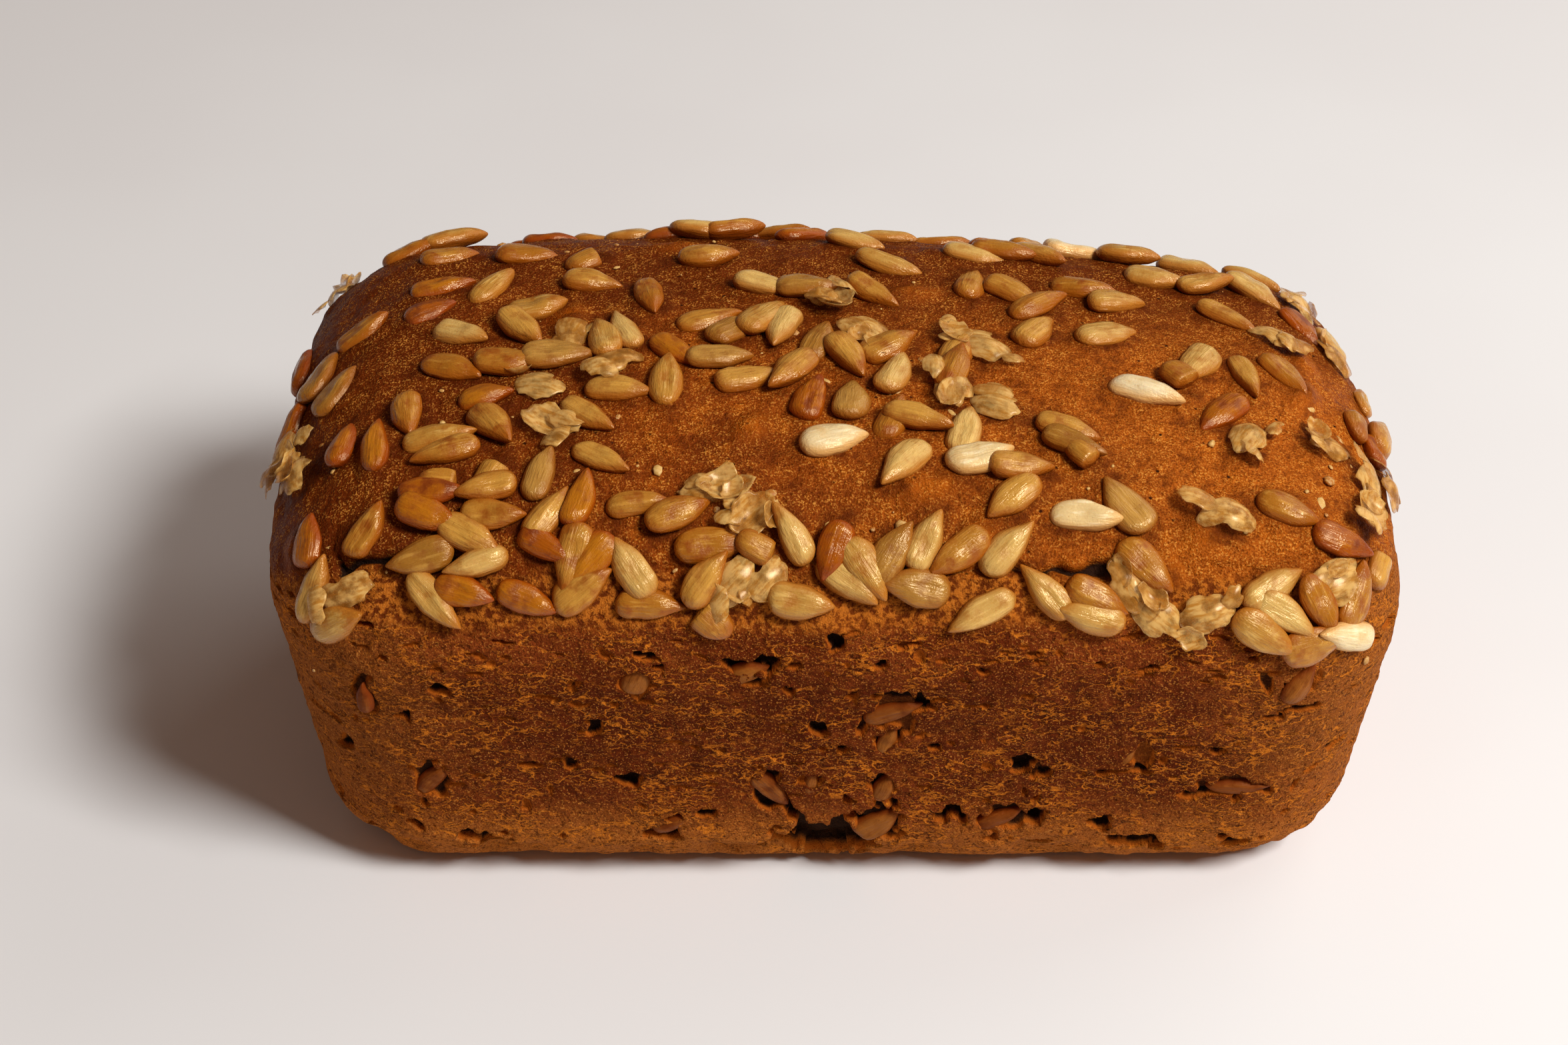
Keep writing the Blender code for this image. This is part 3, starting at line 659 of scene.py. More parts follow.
def mesh_piece(name, points, faces, material, values):
    """A smooth piece in the loaf's place, with a named value at each point for its material to read."""
    mesh = bpy.data.meshes.new(name)
    mesh.from_pydata(points.tolist(), [], faces)
    mesh.shade_smooth()
    for key, value in values.items():
        kind, field = ("FLOAT_VECTOR", "vector") if value.ndim == 2 else ("FLOAT", "value")
        attribute = mesh.attributes.new(key, kind, "POINT")
        attribute.data.foreach_set(field, value.astype(np.float32).ravel())
    mesh.materials.append(material)
    piece = bpy.data.objects.new(name, mesh)
    scene.collection.objects.link(piece)
    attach(piece, "root")
    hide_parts("loaf")


def cut_out(points, faces, values, chosen):
    """The chosen faces of a skin with only the points that they use."""
    used, renumbered = np.unique(faces[chosen], return_inverse=True)
    kept = {key: value[used] for key, value in values.items()}
    return points[used], renumbered.reshape(-1, 4).tolist(), kept


class Shading:
    """A material or node group being wired, where inputs take values or the sockets of other nodes."""

    def __init__(self, tree):
        self.tree = tree

    def feed(self, node, **inputs):
        """Sets or links a node's inputs by name, with _ for a space, or by number, as in _0."""
        for key, value in inputs.items():
            socket = node.inputs[int(key[1:]) if key[0] == "_" else key.replace("_", " ")]
            if isinstance(value, bpy.types.NodeSocket):
                self.tree.links.new(value, socket)
            else:
                socket.default_value = value
        return node

    def add(self, kind, settings=None, **inputs):
        node = self.tree.nodes.new(kind)
        for key, value in (settings or {}).items():
            setattr(node, key, value)
        return self.feed(node, **inputs)

    def math(self, operation, first, second=0.0, clamp=False):
        settings = {"operation": operation, "use_clamp": clamp}
        return self.add("ShaderNodeMath", settings, _0=first, _1=second).outputs[0]

    def times(self, first, second):
        return self.math("MULTIPLY", first, second)

    def plus(self, first, second):
        return self.math("ADD", first, second)

    def larger(self, first, second):
        return self.math("MAXIMUM", first, second)

    def noise(self, vector, scale, detail=3.0, roughness=0.55):
        node = self.add("ShaderNodeTexNoise", Vector=vector, Scale=scale, Detail=detail, Roughness=roughness)
        return node.outputs["Fac"]

    def ramp(self, value, low, high, to_low=0.0, to_high=1.0):
        node = self.add("ShaderNodeMapRange", {"interpolation_type": "SMOOTHSTEP"}, Value=value)
        return self.feed(node, From_Min=low, From_Max=high, To_Min=to_low, To_Max=to_high).outputs[0]

    def blend(self, share, first, second, mode="MIX"):
        first, second = ((*c, 1) if isinstance(c, tuple) else c for c in (first, second))
        settings = {"data_type": "RGBA", "blend_type": mode}
        return self.add("ShaderNodeMix", settings, _0=share, _6=first, _7=second).outputs[2]

    def lay_over(self, colour, colours, layers):
        """Lays named colours over one another, each by its own mask."""
        for mask, name in layers:
            colour = self.blend(mask, colour, colours[name])
        return colour

    def bump(self, height, strength, distance):
        return self.add("ShaderNodeBump", Height=height, Strength=strength, Distance=distance).outputs[0]

    def value_of(self, name, output="Fac"):
        return self.add("ShaderNodeAttribute", {"attribute_name": name}).outputs[output]


def new_material(name):
    material = bpy.data.materials.new(name)
    material.use_nodes = True
    return material, Shading(material.node_tree), material.node_tree.nodes["Principled BSDF"]


def new_group(name, inputs, outputs):
    """A node group with named inputs and outputs, each with its kind of socket."""
    group = bpy.data.node_groups.new(name, "ShaderNodeTree")
    for side, sockets in (("INPUT", inputs), ("OUTPUT", outputs)):
        for label, kind in sockets.items():
            group.interface.new_socket(label, in_out=side, socket_type=f"NodeSocket{kind}")
    s = Shading(group)
    return group, s, s.add("NodeGroupInput").outputs


# The dry skin's flakes: how often and how far their outline strays, how much longer than high they are, the
# level where the painted shadow beside a lip runs, and the levels between which a flake rises
CRACKLE_STRAYS_PER_METRE = 1000.0
CRACKLE_STRAY = 1.3 * MM
CRACKLE_FLATNESS = 2.4
CRACKLE_SHADOW_LEVEL = 0.038
CRACKLE_RISE = (0.040, -0.020)


def crackle_group():
    """Dry skin lifted in flakes: bright ragged lips mostly along the wall, each with a painted shadow beside.
    """
    inputs = {"Vector": "Vector", "Flakes per metre": "Float", "Lip width": "Float"}
    outputs = {"Lips": "Float", "Gaps": "Float", "Height": "Float"}
    group, s, given = new_group("crackle", inputs, outputs)
    pull = s.add("ShaderNodeTexNoise", Vector=given["Vector"], Scale=CRACKLE_STRAYS_PER_METRE, Detail=3.0)
    centred = s.add("ShaderNodeVectorMath", {"operation": "SUBTRACT"}, _0=pull.outputs["Color"])
    s.feed(centred, _1=(0.5,) * 3)
    bent = s.add("ShaderNodeVectorMath", {"operation": "MULTIPLY_ADD"}, _0=centred.outputs[0])
    s.feed(bent, _1=(CRACKLE_STRAY,) * 3, _2=given["Vector"])
    flat = s.add("ShaderNodeMapping", Vector=bent.outputs[0], Scale=(1.0, 1.0, CRACKLE_FLATNESS))
    level = s.math("SUBTRACT", s.noise(flat.outputs[0], given["Flakes per metre"], 2.0, 0.5), 0.5)
    lines = []
    for centre in (0.0, CRACKLE_SHADOW_LEVEL):
        off = s.math("DIVIDE", s.math("ABSOLUTE", s.math("SUBTRACT", level, centre)), given["Lip width"])
        lines.append(s.math("SUBTRACT", 1.0, off, clamp=True))
    s.add("NodeGroupOutput", Lips=lines[0], Gaps=lines[1], Height=s.ramp(level, *CRACKLE_RISE))
    return group


DOME_COLOURS = {
    "deep": (0.140, 0.0180, 0.0010),
    "red-brown": (0.280, 0.0450, 0.0020),
    "orange-brown painted light": (0.48, 0.112, 0.0070),
    "light mottle": (0.55, 0.132, 0.0070),
    "painted shade left and back": (0.130, 0.0190, 0.0013),
    "dark mottle": (0.095, 0.0145, 0.001),
    "dark speck": (0.085, 0.0135, 0.0008),
    "dark grain": (0.090, 0.0145, 0.0010),
    "golden dust": (0.74, 0.31, 0.050),
    "painted pore shade": (0.03, 0.006, 0.001),
    "over a kernel": (0.43, 0.092, 0.003),
    "painted shade round a kernel": (0.080, 0.0125, 0.001),
    "torn dark": (0.11, 0.019, 0.0015),
    "torn light": (0.55, 0.16, 0.015),
}
SIDE_COLOURS = {
    "deep": (0.120, 0.0178, 0.0024),
    "brown": (0.212, 0.0390, 0.0062),
    "half-way up": (0.086, 0.0118, 0.0018),
    "low and ends": (0.47, 0.140, 0.0210),
    "light speck": (0.36, 0.092, 0.0110),
    "dark speck": (0.070, 0.0125, 0.0012),
    "dark grain": (0.055, 0.0105, 0.001),
    "pale stipple": (0.56, 0.21, 0.036),
    "lip shadow": (0.030, 0.0055, 0.001),
    "lip": (0.66, 0.190, 0.014),
}
# A red-brown brim round each pock, and painted shade, near black, inside the pocks and the break's gap
HOLLOW_BRIM_AND_SHADE = {"brim": (0.42, 0.095, 0.007), "inside": (0.011, 0.0058, 0.0040)}
CRACKLE_SIZES = ((150.0, 0.018), (330.0, 0.027))
CRUST_GLOSS = 0.035
CRUST_BUMP = 0.45 * MM


def crust_material(crackle):
    material, s, shader = new_material("baked crust")
    where = s.add("ShaderNodeTexCoord").outputs["Object"]
    tin, pock, gap = s.value_of("tin"), s.value_of("pock"), s.value_of("gap")
    strip, collar, covered = s.value_of("strip"), s.value_of("collar"), s.value_of("covered")
    broad = s.noise(where, 55.0, 4.0)
    middle = s.noise(where, 260.0, 4.0, 0.62)
    fine = s.noise(where, 950.0, 4.0, 0.65)
    grain = s.noise(where, 3200.0, 2.0)
    parts = s.add("ShaderNodeSeparateXYZ", Vector=where).outputs
    along, deep_in, height = parts["X"], parts["Y"], parts["Z"]

    # The dome: red-brown, mottled, and dusted with golden specks in patches, with painted light making it
    # more orange to the right and painted shade making it darker to the left and at the back
    # Painted light: more orange towards the right-hand end
    rightward = s.ramp(s.plus(along, s.times(broad, 0.09)), -0.03, 0.12)
    # Painted shade: darker towards the left-hand end and the back
    darker = s.larger(s.ramp(along, -0.005, -0.075, 0.0, 0.75), s.ramp(deep_in, -0.010, 0.025, 0.0, 0.85))
    dusted = s.times(s.ramp(grain, 0.54, 0.62), s.ramp(fine, 0.36, 0.54))
    pores = s.add("ShaderNodeTexVoronoi", Vector=where, Scale=420.0).outputs["Distance"]
    dome = s.blend(s.ramp(broad, 0.36, 0.62), DOME_COLOURS["deep"], DOME_COLOURS["red-brown"])
    layers = (
        (s.times(rightward, 0.72), "orange-brown painted light"),
        (s.ramp(middle, 0.50, 0.70, 0.0, 0.60), "light mottle"),
        (darker, "painted shade left and back"),
        (s.ramp(middle, 0.46, 0.28, 0.0, 0.6), "dark mottle"),
        (s.ramp(fine, 0.50, 0.32, 0.0, 0.5), "dark speck"),
        (s.ramp(grain, 0.47, 0.36, 0.0, 0.6), "dark grain"),
        (s.times(dusted, s.ramp(middle, 0.34, 0.60, 0.15, 0.8)), "golden dust"),
        # Painted shade: near-black dots where small pores would lie
        (s.times(s.ramp(pores, 0.16, 0.07), s.ramp(middle, 0.5, 0.56)), "painted pore shade"),
        (s.times(covered, s.ramp(fine, 0.3, 0.6, 0.8, 0.25)), "over a kernel"),
        # Painted shade: a dark ring in the crust round the foot of each kernel
        (s.times(collar, s.ramp(middle, 0.35, 0.6, 0.7, 0.2)), "painted shade round a kernel"),
    )
    dome = s.lay_over(dome, DOME_COLOURS, layers)
    torn = s.blend(s.ramp(fine, 0.42, 0.58), DOME_COLOURS["torn dark"], DOME_COLOURS["torn light"])
    dome = s.blend(s.times(strip, 0.7), dome, torn)

    # The tin side: brown, darker half-way up and lighter low down and at the ends, in lifted flakes of two
    # sizes with a painted shadow beside each lip, and a fine pale stipple
    flakes = []
    for count, width in CRACKLE_SIZES:
        net = s.add("ShaderNodeGroup", {"node_tree": crackle}, Vector=where)
        flakes.append(s.feed(net, Flakes_per_metre=count, Lip_width=width).outputs)
    patchy = s.noise(where, 120.0)
    some, others = s.ramp(patchy, 0.36, 0.54, 0.15, 1.0), s.ramp(patchy, 0.44, 0.62, 0.1, 0.9)
    large, small = flakes
    lips = s.larger(s.times(large["Lips"], some), s.times(small["Lips"], others))
    lip_shadows = s.larger(s.times(large["Gaps"], some), s.times(small["Gaps"], others))
    waist = s.times(s.ramp(height, 0.016, 0.028), s.ramp(height, 0.053, 0.043))
    low = s.ramp(s.plus(height, s.times(broad, 0.014)), 0.014, 0.028, 1.0, 0.0)
    ends = s.ramp(s.math("ABSOLUTE", along), 0.050, 0.086, 0.0, 0.75)
    side = s.blend(s.ramp(broad, 0.36, 0.62), SIDE_COLOURS["deep"], SIDE_COLOURS["brown"])
    layers = (
        (s.times(waist, s.ramp(middle, 0.36, 0.60, 0.25, 0.9)), "half-way up"),
        (s.times(s.larger(low, ends), 0.85), "low and ends"),
        (s.ramp(fine, 0.54, 0.72, 0.0, 0.50), "light speck"),
        (s.ramp(fine, 0.48, 0.32, 0.0, 0.8), "dark speck"),
        (s.ramp(grain, 0.44, 0.34, 0.0, 0.7), "dark grain"),
        (s.ramp(grain, 0.58, 0.66, 0.0, 0.7), "pale stipple"),
        # Painted shadow: a dark line beside each lifted lip
        (s.times(lip_shadows, s.ramp(fine, 0.40, 0.56, 0.3, 0.95)), "lip shadow"),
        (s.times(lips, s.ramp(fine, 0.32, 0.48, 0.35, 1.0)), "lip"),
    )
    side = s.lay_over(side, SIDE_COLOURS, layers)
    # Painted shade: the pocks and the torn gap are filled near black
    inside = s.larger(s.ramp(pock, 0.32, 0.68), s.ramp(gap, 0.35, 0.75))
    layers = (
        (s.times(s.ramp(pock, 0.02, 0.22), s.ramp(pock, 0.7, 0.3, 0.0, 0.85)), "brim"),
        (s.times(inside, 0.95), "inside"),
    )
    colour = s.lay_over(s.blend(tin, dome, side), HOLLOW_BRIM_AND_SHADE, layers)

    # Smoother over covered kernels and dullest on the tin side
    dull_dome = s.blend(s.ramp(fine, 0.35, 0.65), (0.42,) * 3, (0.62,) * 3)
    dullness = s.blend(s.times(covered, 0.8), s.blend(tin, dull_dome, (0.8,) * 3), (0.30,) * 3)
    rough_dome = s.plus(s.times(fine, 1.5), s.times(grain, 0.7))
    rough_side = s.plus(s.times(large["Height"], s.times(some, 0.4)), s.times(fine, 0.4))
    rough_side = s.plus(rough_side, s.times(small["Height"], s.times(others, 0.25)))
    relief = s.bump(s.plus(rough_dome, s.times(rough_side, tin)), 0.9, CRUST_BUMP)
    s.feed(shader, Base_Color=colour, Roughness=dullness, Specular_IOR_Level=CRUST_GLOSS, Normal=relief)
    return material


BASE_CUT = 0.6 * MM
DOME_CUT = RIM_HEIGHT - 3 * MM

crust = crust_material(crackle_group())
skin_points, skin_faces, skin_masks = make_skin()
face_middle = skin_points[skin_faces].mean(axis=1)
lies_flat = face_middle[:, 2] < BASE_CUT
on_dome = face_middle[:, 2] > DOME_CUT
in_front = face_middle[:, 1] < 0
skin_cuts = {
    "crust_dome_front": on_dome & in_front,
    "crust_dome_back": on_dome & ~in_front,
    "crust_tin_front": ~on_dome & ~lies_flat & in_front,
    "crust_tin_back": ~on_dome & ~lies_flat & ~in_front,
    "crust_base": lies_flat,
}
for name, chosen in skin_cuts.items():
    kept_points, kept_faces, kept_masks = cut_out(skin_points, skin_faces, skin_masks, chosen)
    mesh_piece(name, kept_points, kept_faces, crust, kept_masks)


# The kernels. Shelled sunflower kernels, blunt behind and pointed in front, lens-shaped across, each toasted
# to its own tone. Every kind is one mesh of many kernels, with a tone and coordinates of their own.

RINGS = 22
SIDES = 24
SHAPE_SEED = 23
TIP_AT = 1.13
BACK_AT = 0.90
BLUNTNESS = (2.8, 5.0)
TAPER = (1.4, 1.9)
NIB = 0.15
RIB_TURNS = (2.5, 3, 3.5)
RIB_DEPTH = (0.04, 0.10)
EDGE_FULLNESS = (0.9, 1.2)
CUT_AT = 0.10
CUT_BULGE = 0.10
BROKEN_HALF_LENGTH = KERNEL_LENGTH / 2 * 0.8
CHANCE_LENGTH = (0.93, 1.0)
CHANCE_WIDTH = (0.80, 1.0)
KERNEL_BEND = (-0.10, 0.10)
KERNEL_TWIST = (-0.12, 0.12)
KERNEL_DENT = (-0.25, 0.4)
KERNEL_LUMPS = ((0.22, 3.2, 0), (0.10, 1.3, 1))
WALL_KERNEL_THICKNESS = 0.8
WALL_CAST_FROM = 0.9


def kernel_matrix(kernel):
    """Kernel's own axes to the loaf's: its tip along its heading, its flat side along the crust."""
    across = kernel["normal"].cross(kernel["axis"]).normalized()
    turn = Matrix((kernel["axis"], across, kernel["normal"])).transposed().to_4x4()
    height = kernel["size"].z * KERNEL_SEAT + kernel["lift"]
    place = kernel["place"] + kernel["normal"] * height
    return Matrix.Translation(place) @ turn @ Matrix.Rotation(kernel["tilt"], 4, "Y")


def wall_kernels():
    """The kernels that show in the front wall, most of them bedded in a pocket of their own."""
    for x, z, heading, long, wide in WALL_KERNELS:
        origin = np.array([[x * WALL_CAST_FROM, 0, z]]) * MM
        place = Vector(cast(origin, np.array([[0.0, -1.0, 0.0]]))[0])
        place.x = x * MM
        normal = Vector(outward(np.array([place]))[0])
        level = Vector((0, 0, 1)).cross(-normal).normalized() * -1
        upward, turn = normal.cross(level).normalized(), math.radians(heading)
        axis = level * math.cos(turn) + upward * math.sin(turn)
        size = Vector((KERNEL_LENGTH * long, KERNEL_WIDTH * wide, KERNEL_THICKNESS * WALL_KERNEL_THICKNESS))
        sunk = {"lift": -WALL_KERNEL_SUNK * size.z, "tilt": 0.0, "kind": "w", "size": size}
        yield {"place": place, "normal": normal, "axis": axis, **sunk}


def kernel_rings(draw, broken):
    """Unit kernel as rings of points from its blunt end to its tip, with a squarish back and low ribs."""
    lengthwise = -np.cos(np.linspace(0, math.pi, RINGS + 1))
    blunt, taper = draw.uniform(*BLUNTNESS), draw.uniform(*TAPER)
    ahead = np.maximum(lengthwise, 0)
    behind = (1 - np.abs(np.minimum(lengthwise, 0)) ** blunt) ** 0.5
    nib = NIB * (1 - ahead**10) ** 0.5
    outline = behind * ((1 - ahead**taper) ** 1.22 * (1 - NIB) + nib)
    depth = behind * ((1 - ahead**2.2) ** 0.75 * (1 - NIB) + nib)
    place = np.where(lengthwise > 0, lengthwise * TIP_AT, lengthwise * BACK_AT)
    if broken:
        past = np.clip((place - CUT_AT) / (TIP_AT - CUT_AT), 0, 1)
        held = np.interp(CUT_AT, place, outline), np.interp(CUT_AT, place, depth)
        outline = np.where(past > 0, held[0] * (1 - past) ** 0.8, outline)
        depth = np.where(past > 0, held[1] * (1 - past) ** 0.8, depth)
        place = np.where(past > 0, CUT_AT + CUT_BULGE * past, place) * 1.25
    turn = np.linspace(0, math.tau, SIDES, endpoint=False)
    facets = np.abs(np.sin(turn * draw.choice(RIB_TURNS) + draw.uniform(0, math.tau)))
    ribs = 1.03 - draw.uniform(*RIB_DEPTH) * facets
    edge = draw.uniform(*EDGE_FULLNESS)
    wide = np.cos(turn) * ribs
    thick = np.sign(np.sin(turn)) * np.abs(np.sin(turn)) ** edge * ribs
    x = np.repeat(place[:, None], SIDES, axis=1)
    y = outline[:, None] * wide[None]
    z = depth[:, None] * thick[None]
    return np.stack([x, y, z], axis=2).reshape(-1, 3)


def ring_faces(rings, sides):
    """Quads between neighbouring rings of points."""
    ring, side = np.meshgrid(np.arange(rings), np.arange(sides), indexing="ij")
    step = (side + 1) % sides
    quads = [ring * sides + side, ring * sides + step, (ring + 1) * sides + step, (ring + 1) * sides + side]
    return np.stack(quads, axis=2).reshape(-1, 4)[:, ::-1]


def shape_kernel(kernel, draw):
    """One kernel's points on the loaf, and its own coordinates in millimetres."""
    unit = kernel_rings(draw, kernel["kind"] == "b")
    shares = np.array([draw.uniform(*CHANCE_LENGTH), draw.uniform(*CHANCE_WIDTH), 1.0])
    half = np.array(kernel["size"]) / 2 * shares
    if kernel["kind"] == "b":
        half[0] = BROKEN_HALF_LENGTH
    own = unit * half
    shift = np.array([draw.uniform(0, 1) for _ in range(3)])
    bend, twist = draw.uniform(*KERNEL_BEND), draw.uniform(*KERNEL_TWIST)
    dent = max(draw.uniform(*KERNEL_DENT), 0)
    own[:, 1] += bend * half[1] * (1 - unit[:, 0] ** 2) * 2
    own[:, 2] += twist * own[:, 1] * unit[:, 0]
    hollow = np.exp(-((unit[:, 0] + 0.1) / 0.4) ** 2 - (unit[:, 1] / 0.45) ** 2)
    own[:, 2] -= dent * half[2] * hollow * (unit[:, 2] > 0)
    own += mixed_lumps(own + shift, KERNEL_LUMPS)[:, None] * unit * MM
    to_loaf = np.array(kernel_matrix(kernel))
    return own @ to_loaf[:3, :3].T + to_loaf[:3, 3], own / MM + shift * 100, unit[:, [0, 2]]


def kernel_piece(name, kinds, material, seed):
    """All the kernels of some kinds as one mesh."""
    draw = random.Random(seed)
    points, own, shares, tone, faces = [], [], [], [], []
    quads = ring_faces(RINGS, SIDES)
    for kernel in kernels:
        if kernel["kind"] not in kinds:
            continue
        placed, coordinates, share = shape_kernel(kernel, draw)
        faces.append(quads + len(points) * len(placed))
        points.append(placed)
        own.append(coordinates)
        shares.append(share)
        tone.append(np.full(len(placed), draw.random()))
    values = {"own": np.concatenate(own), "tone": np.concatenate(tone)}
    values["lengthwise"], values["upper"] = np.concatenate(shares).T
    mesh_piece(name, np.concatenate(points), np.concatenate(faces).tolist(), material, values)


# What a kernel's pale, deep and toasted colours are multiplied by for its light streaks, which are partly
# painted highlight, and for the painted shade on its edge and underside
STREAK_AND_HIGHLIGHT = (1.28, 1.32, 1.35)
EDGE_SHADE = (0.95, 0.68, 0.4)
UNDERSIDE_SHADE = (0.7, 0.55, 0.45)


def kernel_group():
    """Colour and relief of a kernel: lengthwise veins, light streaks that are partly painted highlight, a
    toasted tip, blotches, painted shade on its sides and underneath, and a chance tone.
    """
    inputs = {"Pale": "Color", "Deep": "Color", "Toasted": "Color", "Toast": "Float"}
    outputs = {"Colour": "Color", "Relief": "Float", "Dullness": "Float"}
    group, s, given = new_group("kernel skin", inputs, outputs)
    own = s.value_of("own", "Vector")
    lengthwise, tone, upper = s.value_of("lengthwise"), s.value_of("tone"), s.value_of("upper")
    drawn = s.add("ShaderNodeMapping", Vector=own, Scale=(0.13, 1.0, 1.0)).outputs[0]
    veins = s.noise(drawn, 1.5, 2.0, 0.6)
    hairs = s.noise(drawn, 4.6, 3.0, 0.6)
    blotch = s.noise(own, 0.42)
    freckle = s.noise(own, 2.6, 2.0)
    mixed = s.plus(s.times(tone, 0.7), s.times(blotch, 0.6))
    tip = s.plus(s.ramp(lengthwise, 0.35, 1.1, 0.0, 0.75), s.ramp(lengthwise, -0.70, -0.95, 0.0, 0.45))
    burnt = s.times(s.plus(tip, s.ramp(blotch, 0.48, 0.72, 0.0, 0.9)), given["Toast"])
    burnt = s.math("MULTIPLY", burnt, s.ramp(tone, 0.0, 1.0, 0.5, 1.3), clamp=True)
    tones = {"deep": given["Deep"], "toasted": given["Toasted"]}
    tones["light"] = s.blend(1.0, given["Pale"], STREAK_AND_HIGHLIGHT, "MULTIPLY")
    tones["edge"] = s.blend(1.0, given["Deep"], EDGE_SHADE, "MULTIPLY")
    tones["underside"] = s.blend(1.0, given["Toasted"], UNDERSIDE_SHADE, "MULTIPLY")
    layers = (
        (s.ramp(mixed, 0.25, 1.0), "deep"),
        (s.ramp(veins, 0.50, 0.70, 0.0, 0.4), "deep"),
        (s.ramp(hairs, 0.52, 0.68, 0.0, 0.15), "deep"),
        # Pale streaks along the veins: partly the kernel's own streaks, partly painted highlight
        (s.ramp(veins, 0.48, 0.30, 0.0, 0.45), "light"),
        (burnt, "toasted"),
        (s.ramp(freckle, 0.64, 0.74, 0.0, 0.5), "toasted"),
        # Painted shade: darker on the kernel's sides, where it turns from the top, and under it by the crust
        (s.ramp(upper, 0.85, 0.25, 0.0, 0.85), "edge"),
        (s.ramp(upper, 0.30, -0.35, 0.0, 0.9), "underside"),
    )
    relief = s.plus(s.plus(veins, s.times(hairs, 0.3)), s.times(freckle, 0.25))
    dullness = s.ramp(s.plus(blotch, s.times(hairs, 0.4)), 0.55, 0.85)
    colour = s.lay_over(given["Pale"], tones, layers)
    s.add("NodeGroupOutput", Colour=colour, Relief=relief, Dullness=dullness)
    return group


KERNEL_GLOSS = 0.6
WALL_KERNEL_GLOSS = 0.1275
KERNEL_SHEEN = (1.0, 0.80, 0.50, 1)
KERNEL_BUMP = 0.30 * MM
GLOW_WEIGHT = 0.12
GLOW_COLOURS = (1.0, 0.55, 0.25)
GLOW_REACH = 1.2 * MM

# Each kind of kernel: piece, letter, the pale, deep and toasted colours, then toast and dullness
KERNEL_FINISHES = (
    ("kernels_cream", "c", (0.88, 0.75, 0.49), (0.74, 0.52, 0.23), (0.54, 0.25, 0.050), 0.3, 0.28),
    ("kernels_pale", "p", (0.66, 0.41, 0.120), (0.46, 0.210, 0.030), (0.35, 0.105, 0.007), 0.7, 0.25),
    ("kernels_tan", "t", (0.55, 0.27, 0.045), (0.37, 0.128, 0.009), (0.27, 0.058, 0.002), 0.9, 0.25),
    ("kernels_grey", "g", (0.49, 0.25, 0.050), (0.33, 0.135, 0.016), (0.24, 0.065, 0.005), 0.6, 0.25),
    ("kernels_toasted", "o", (0.45, 0.150, 0.006), (0.32, 0.068, 0.0015), (0.18, 0.026, 0.001), 0.9, 0.25),
    ("kernels_dark", "d", (0.44, 0.122, 0.006), (0.29, 0.060, 0.002), (0.14, 0.021, 0.001), 0.9, 0.30),
    ("kernels_broken", "b", (0.56, 0.27, 0.040), (0.37, 0.128, 0.009), (0.27, 0.062, 0.003), 0.7, 0.33),
    ("kernels_in_wall", "w", (0.29, 0.092, 0.012), (0.19, 0.042, 0.004), (0.12, 0.021, 0.0015), 0.8, 0.55),
)


def kernel_material(name, skin, tones, toast, dullness, gloss):
    material, s, shader = new_material(name)
    pale, deep, toasted = ((*tone, 1) for tone in tones)
    face = s.add("ShaderNodeGroup", {"node_tree": skin}, Pale=pale, Deep=deep, Toasted=toasted)
    face = s.feed(face, Toast=toast).outputs
    roughness = s.ramp(face["Dullness"], 0.0, 1.0, dullness - 0.08, dullness + 0.14)
    relief = s.bump(face["Relief"], 0.8, KERNEL_BUMP)
    s.feed(shader, Base_Color=face["Colour"], Roughness=roughness, Normal=relief)
    s.feed(shader, Specular_IOR_Level=gloss, Specular_Tint=KERNEL_SHEEN)
    s.feed(shader, Subsurface_Weight=GLOW_WEIGHT, Subsurface_Radius=GLOW_COLOURS, Subsurface_Scale=GLOW_REACH)
    return material


skin = kernel_group()
kernels.extend(wall_kernels())
for number, (name, kinds, *tones, toast, dullness) in enumerate(KERNEL_FINISHES):
    gloss = WALL_KERNEL_GLOSS if kinds == "w" else KERNEL_GLOSS
    finish = kernel_material(name, skin, tones, toast, dullness, gloss)
    kernel_piece(name, kinds, finish, SHAPE_SEED + number)


# The flakes of husk. Thin papery skins that came off kernels, curled, torn at the edge and half clear, lying
# loose or baked on by one side in small heaps.

FLAKE_SEED = 41
SHEETS_IN_A_HEAP = (2, 3, 3, 4)
FLAKE_RINGS = 7
FLAKE_SIDES = 26
FLAKE_THICKNESS = 0.12 * MM
LATER_SHEET_SIZE = (0.45, 0.8)
MOST_FRAY = 0.35
TEAR_DEPTH = (0.1, 0.55)
TEAR_WIDTH = 0.45
FLAKE_BOW = (0.35, 0.62)
FOLD_TURNS = (1, 1.5, 2)
FOLD_HEIGHT = (0.1, 0.5)
FLAKE_LUMPS = ((0.35, 3.6, 0), (0.10, 1.4, 1))


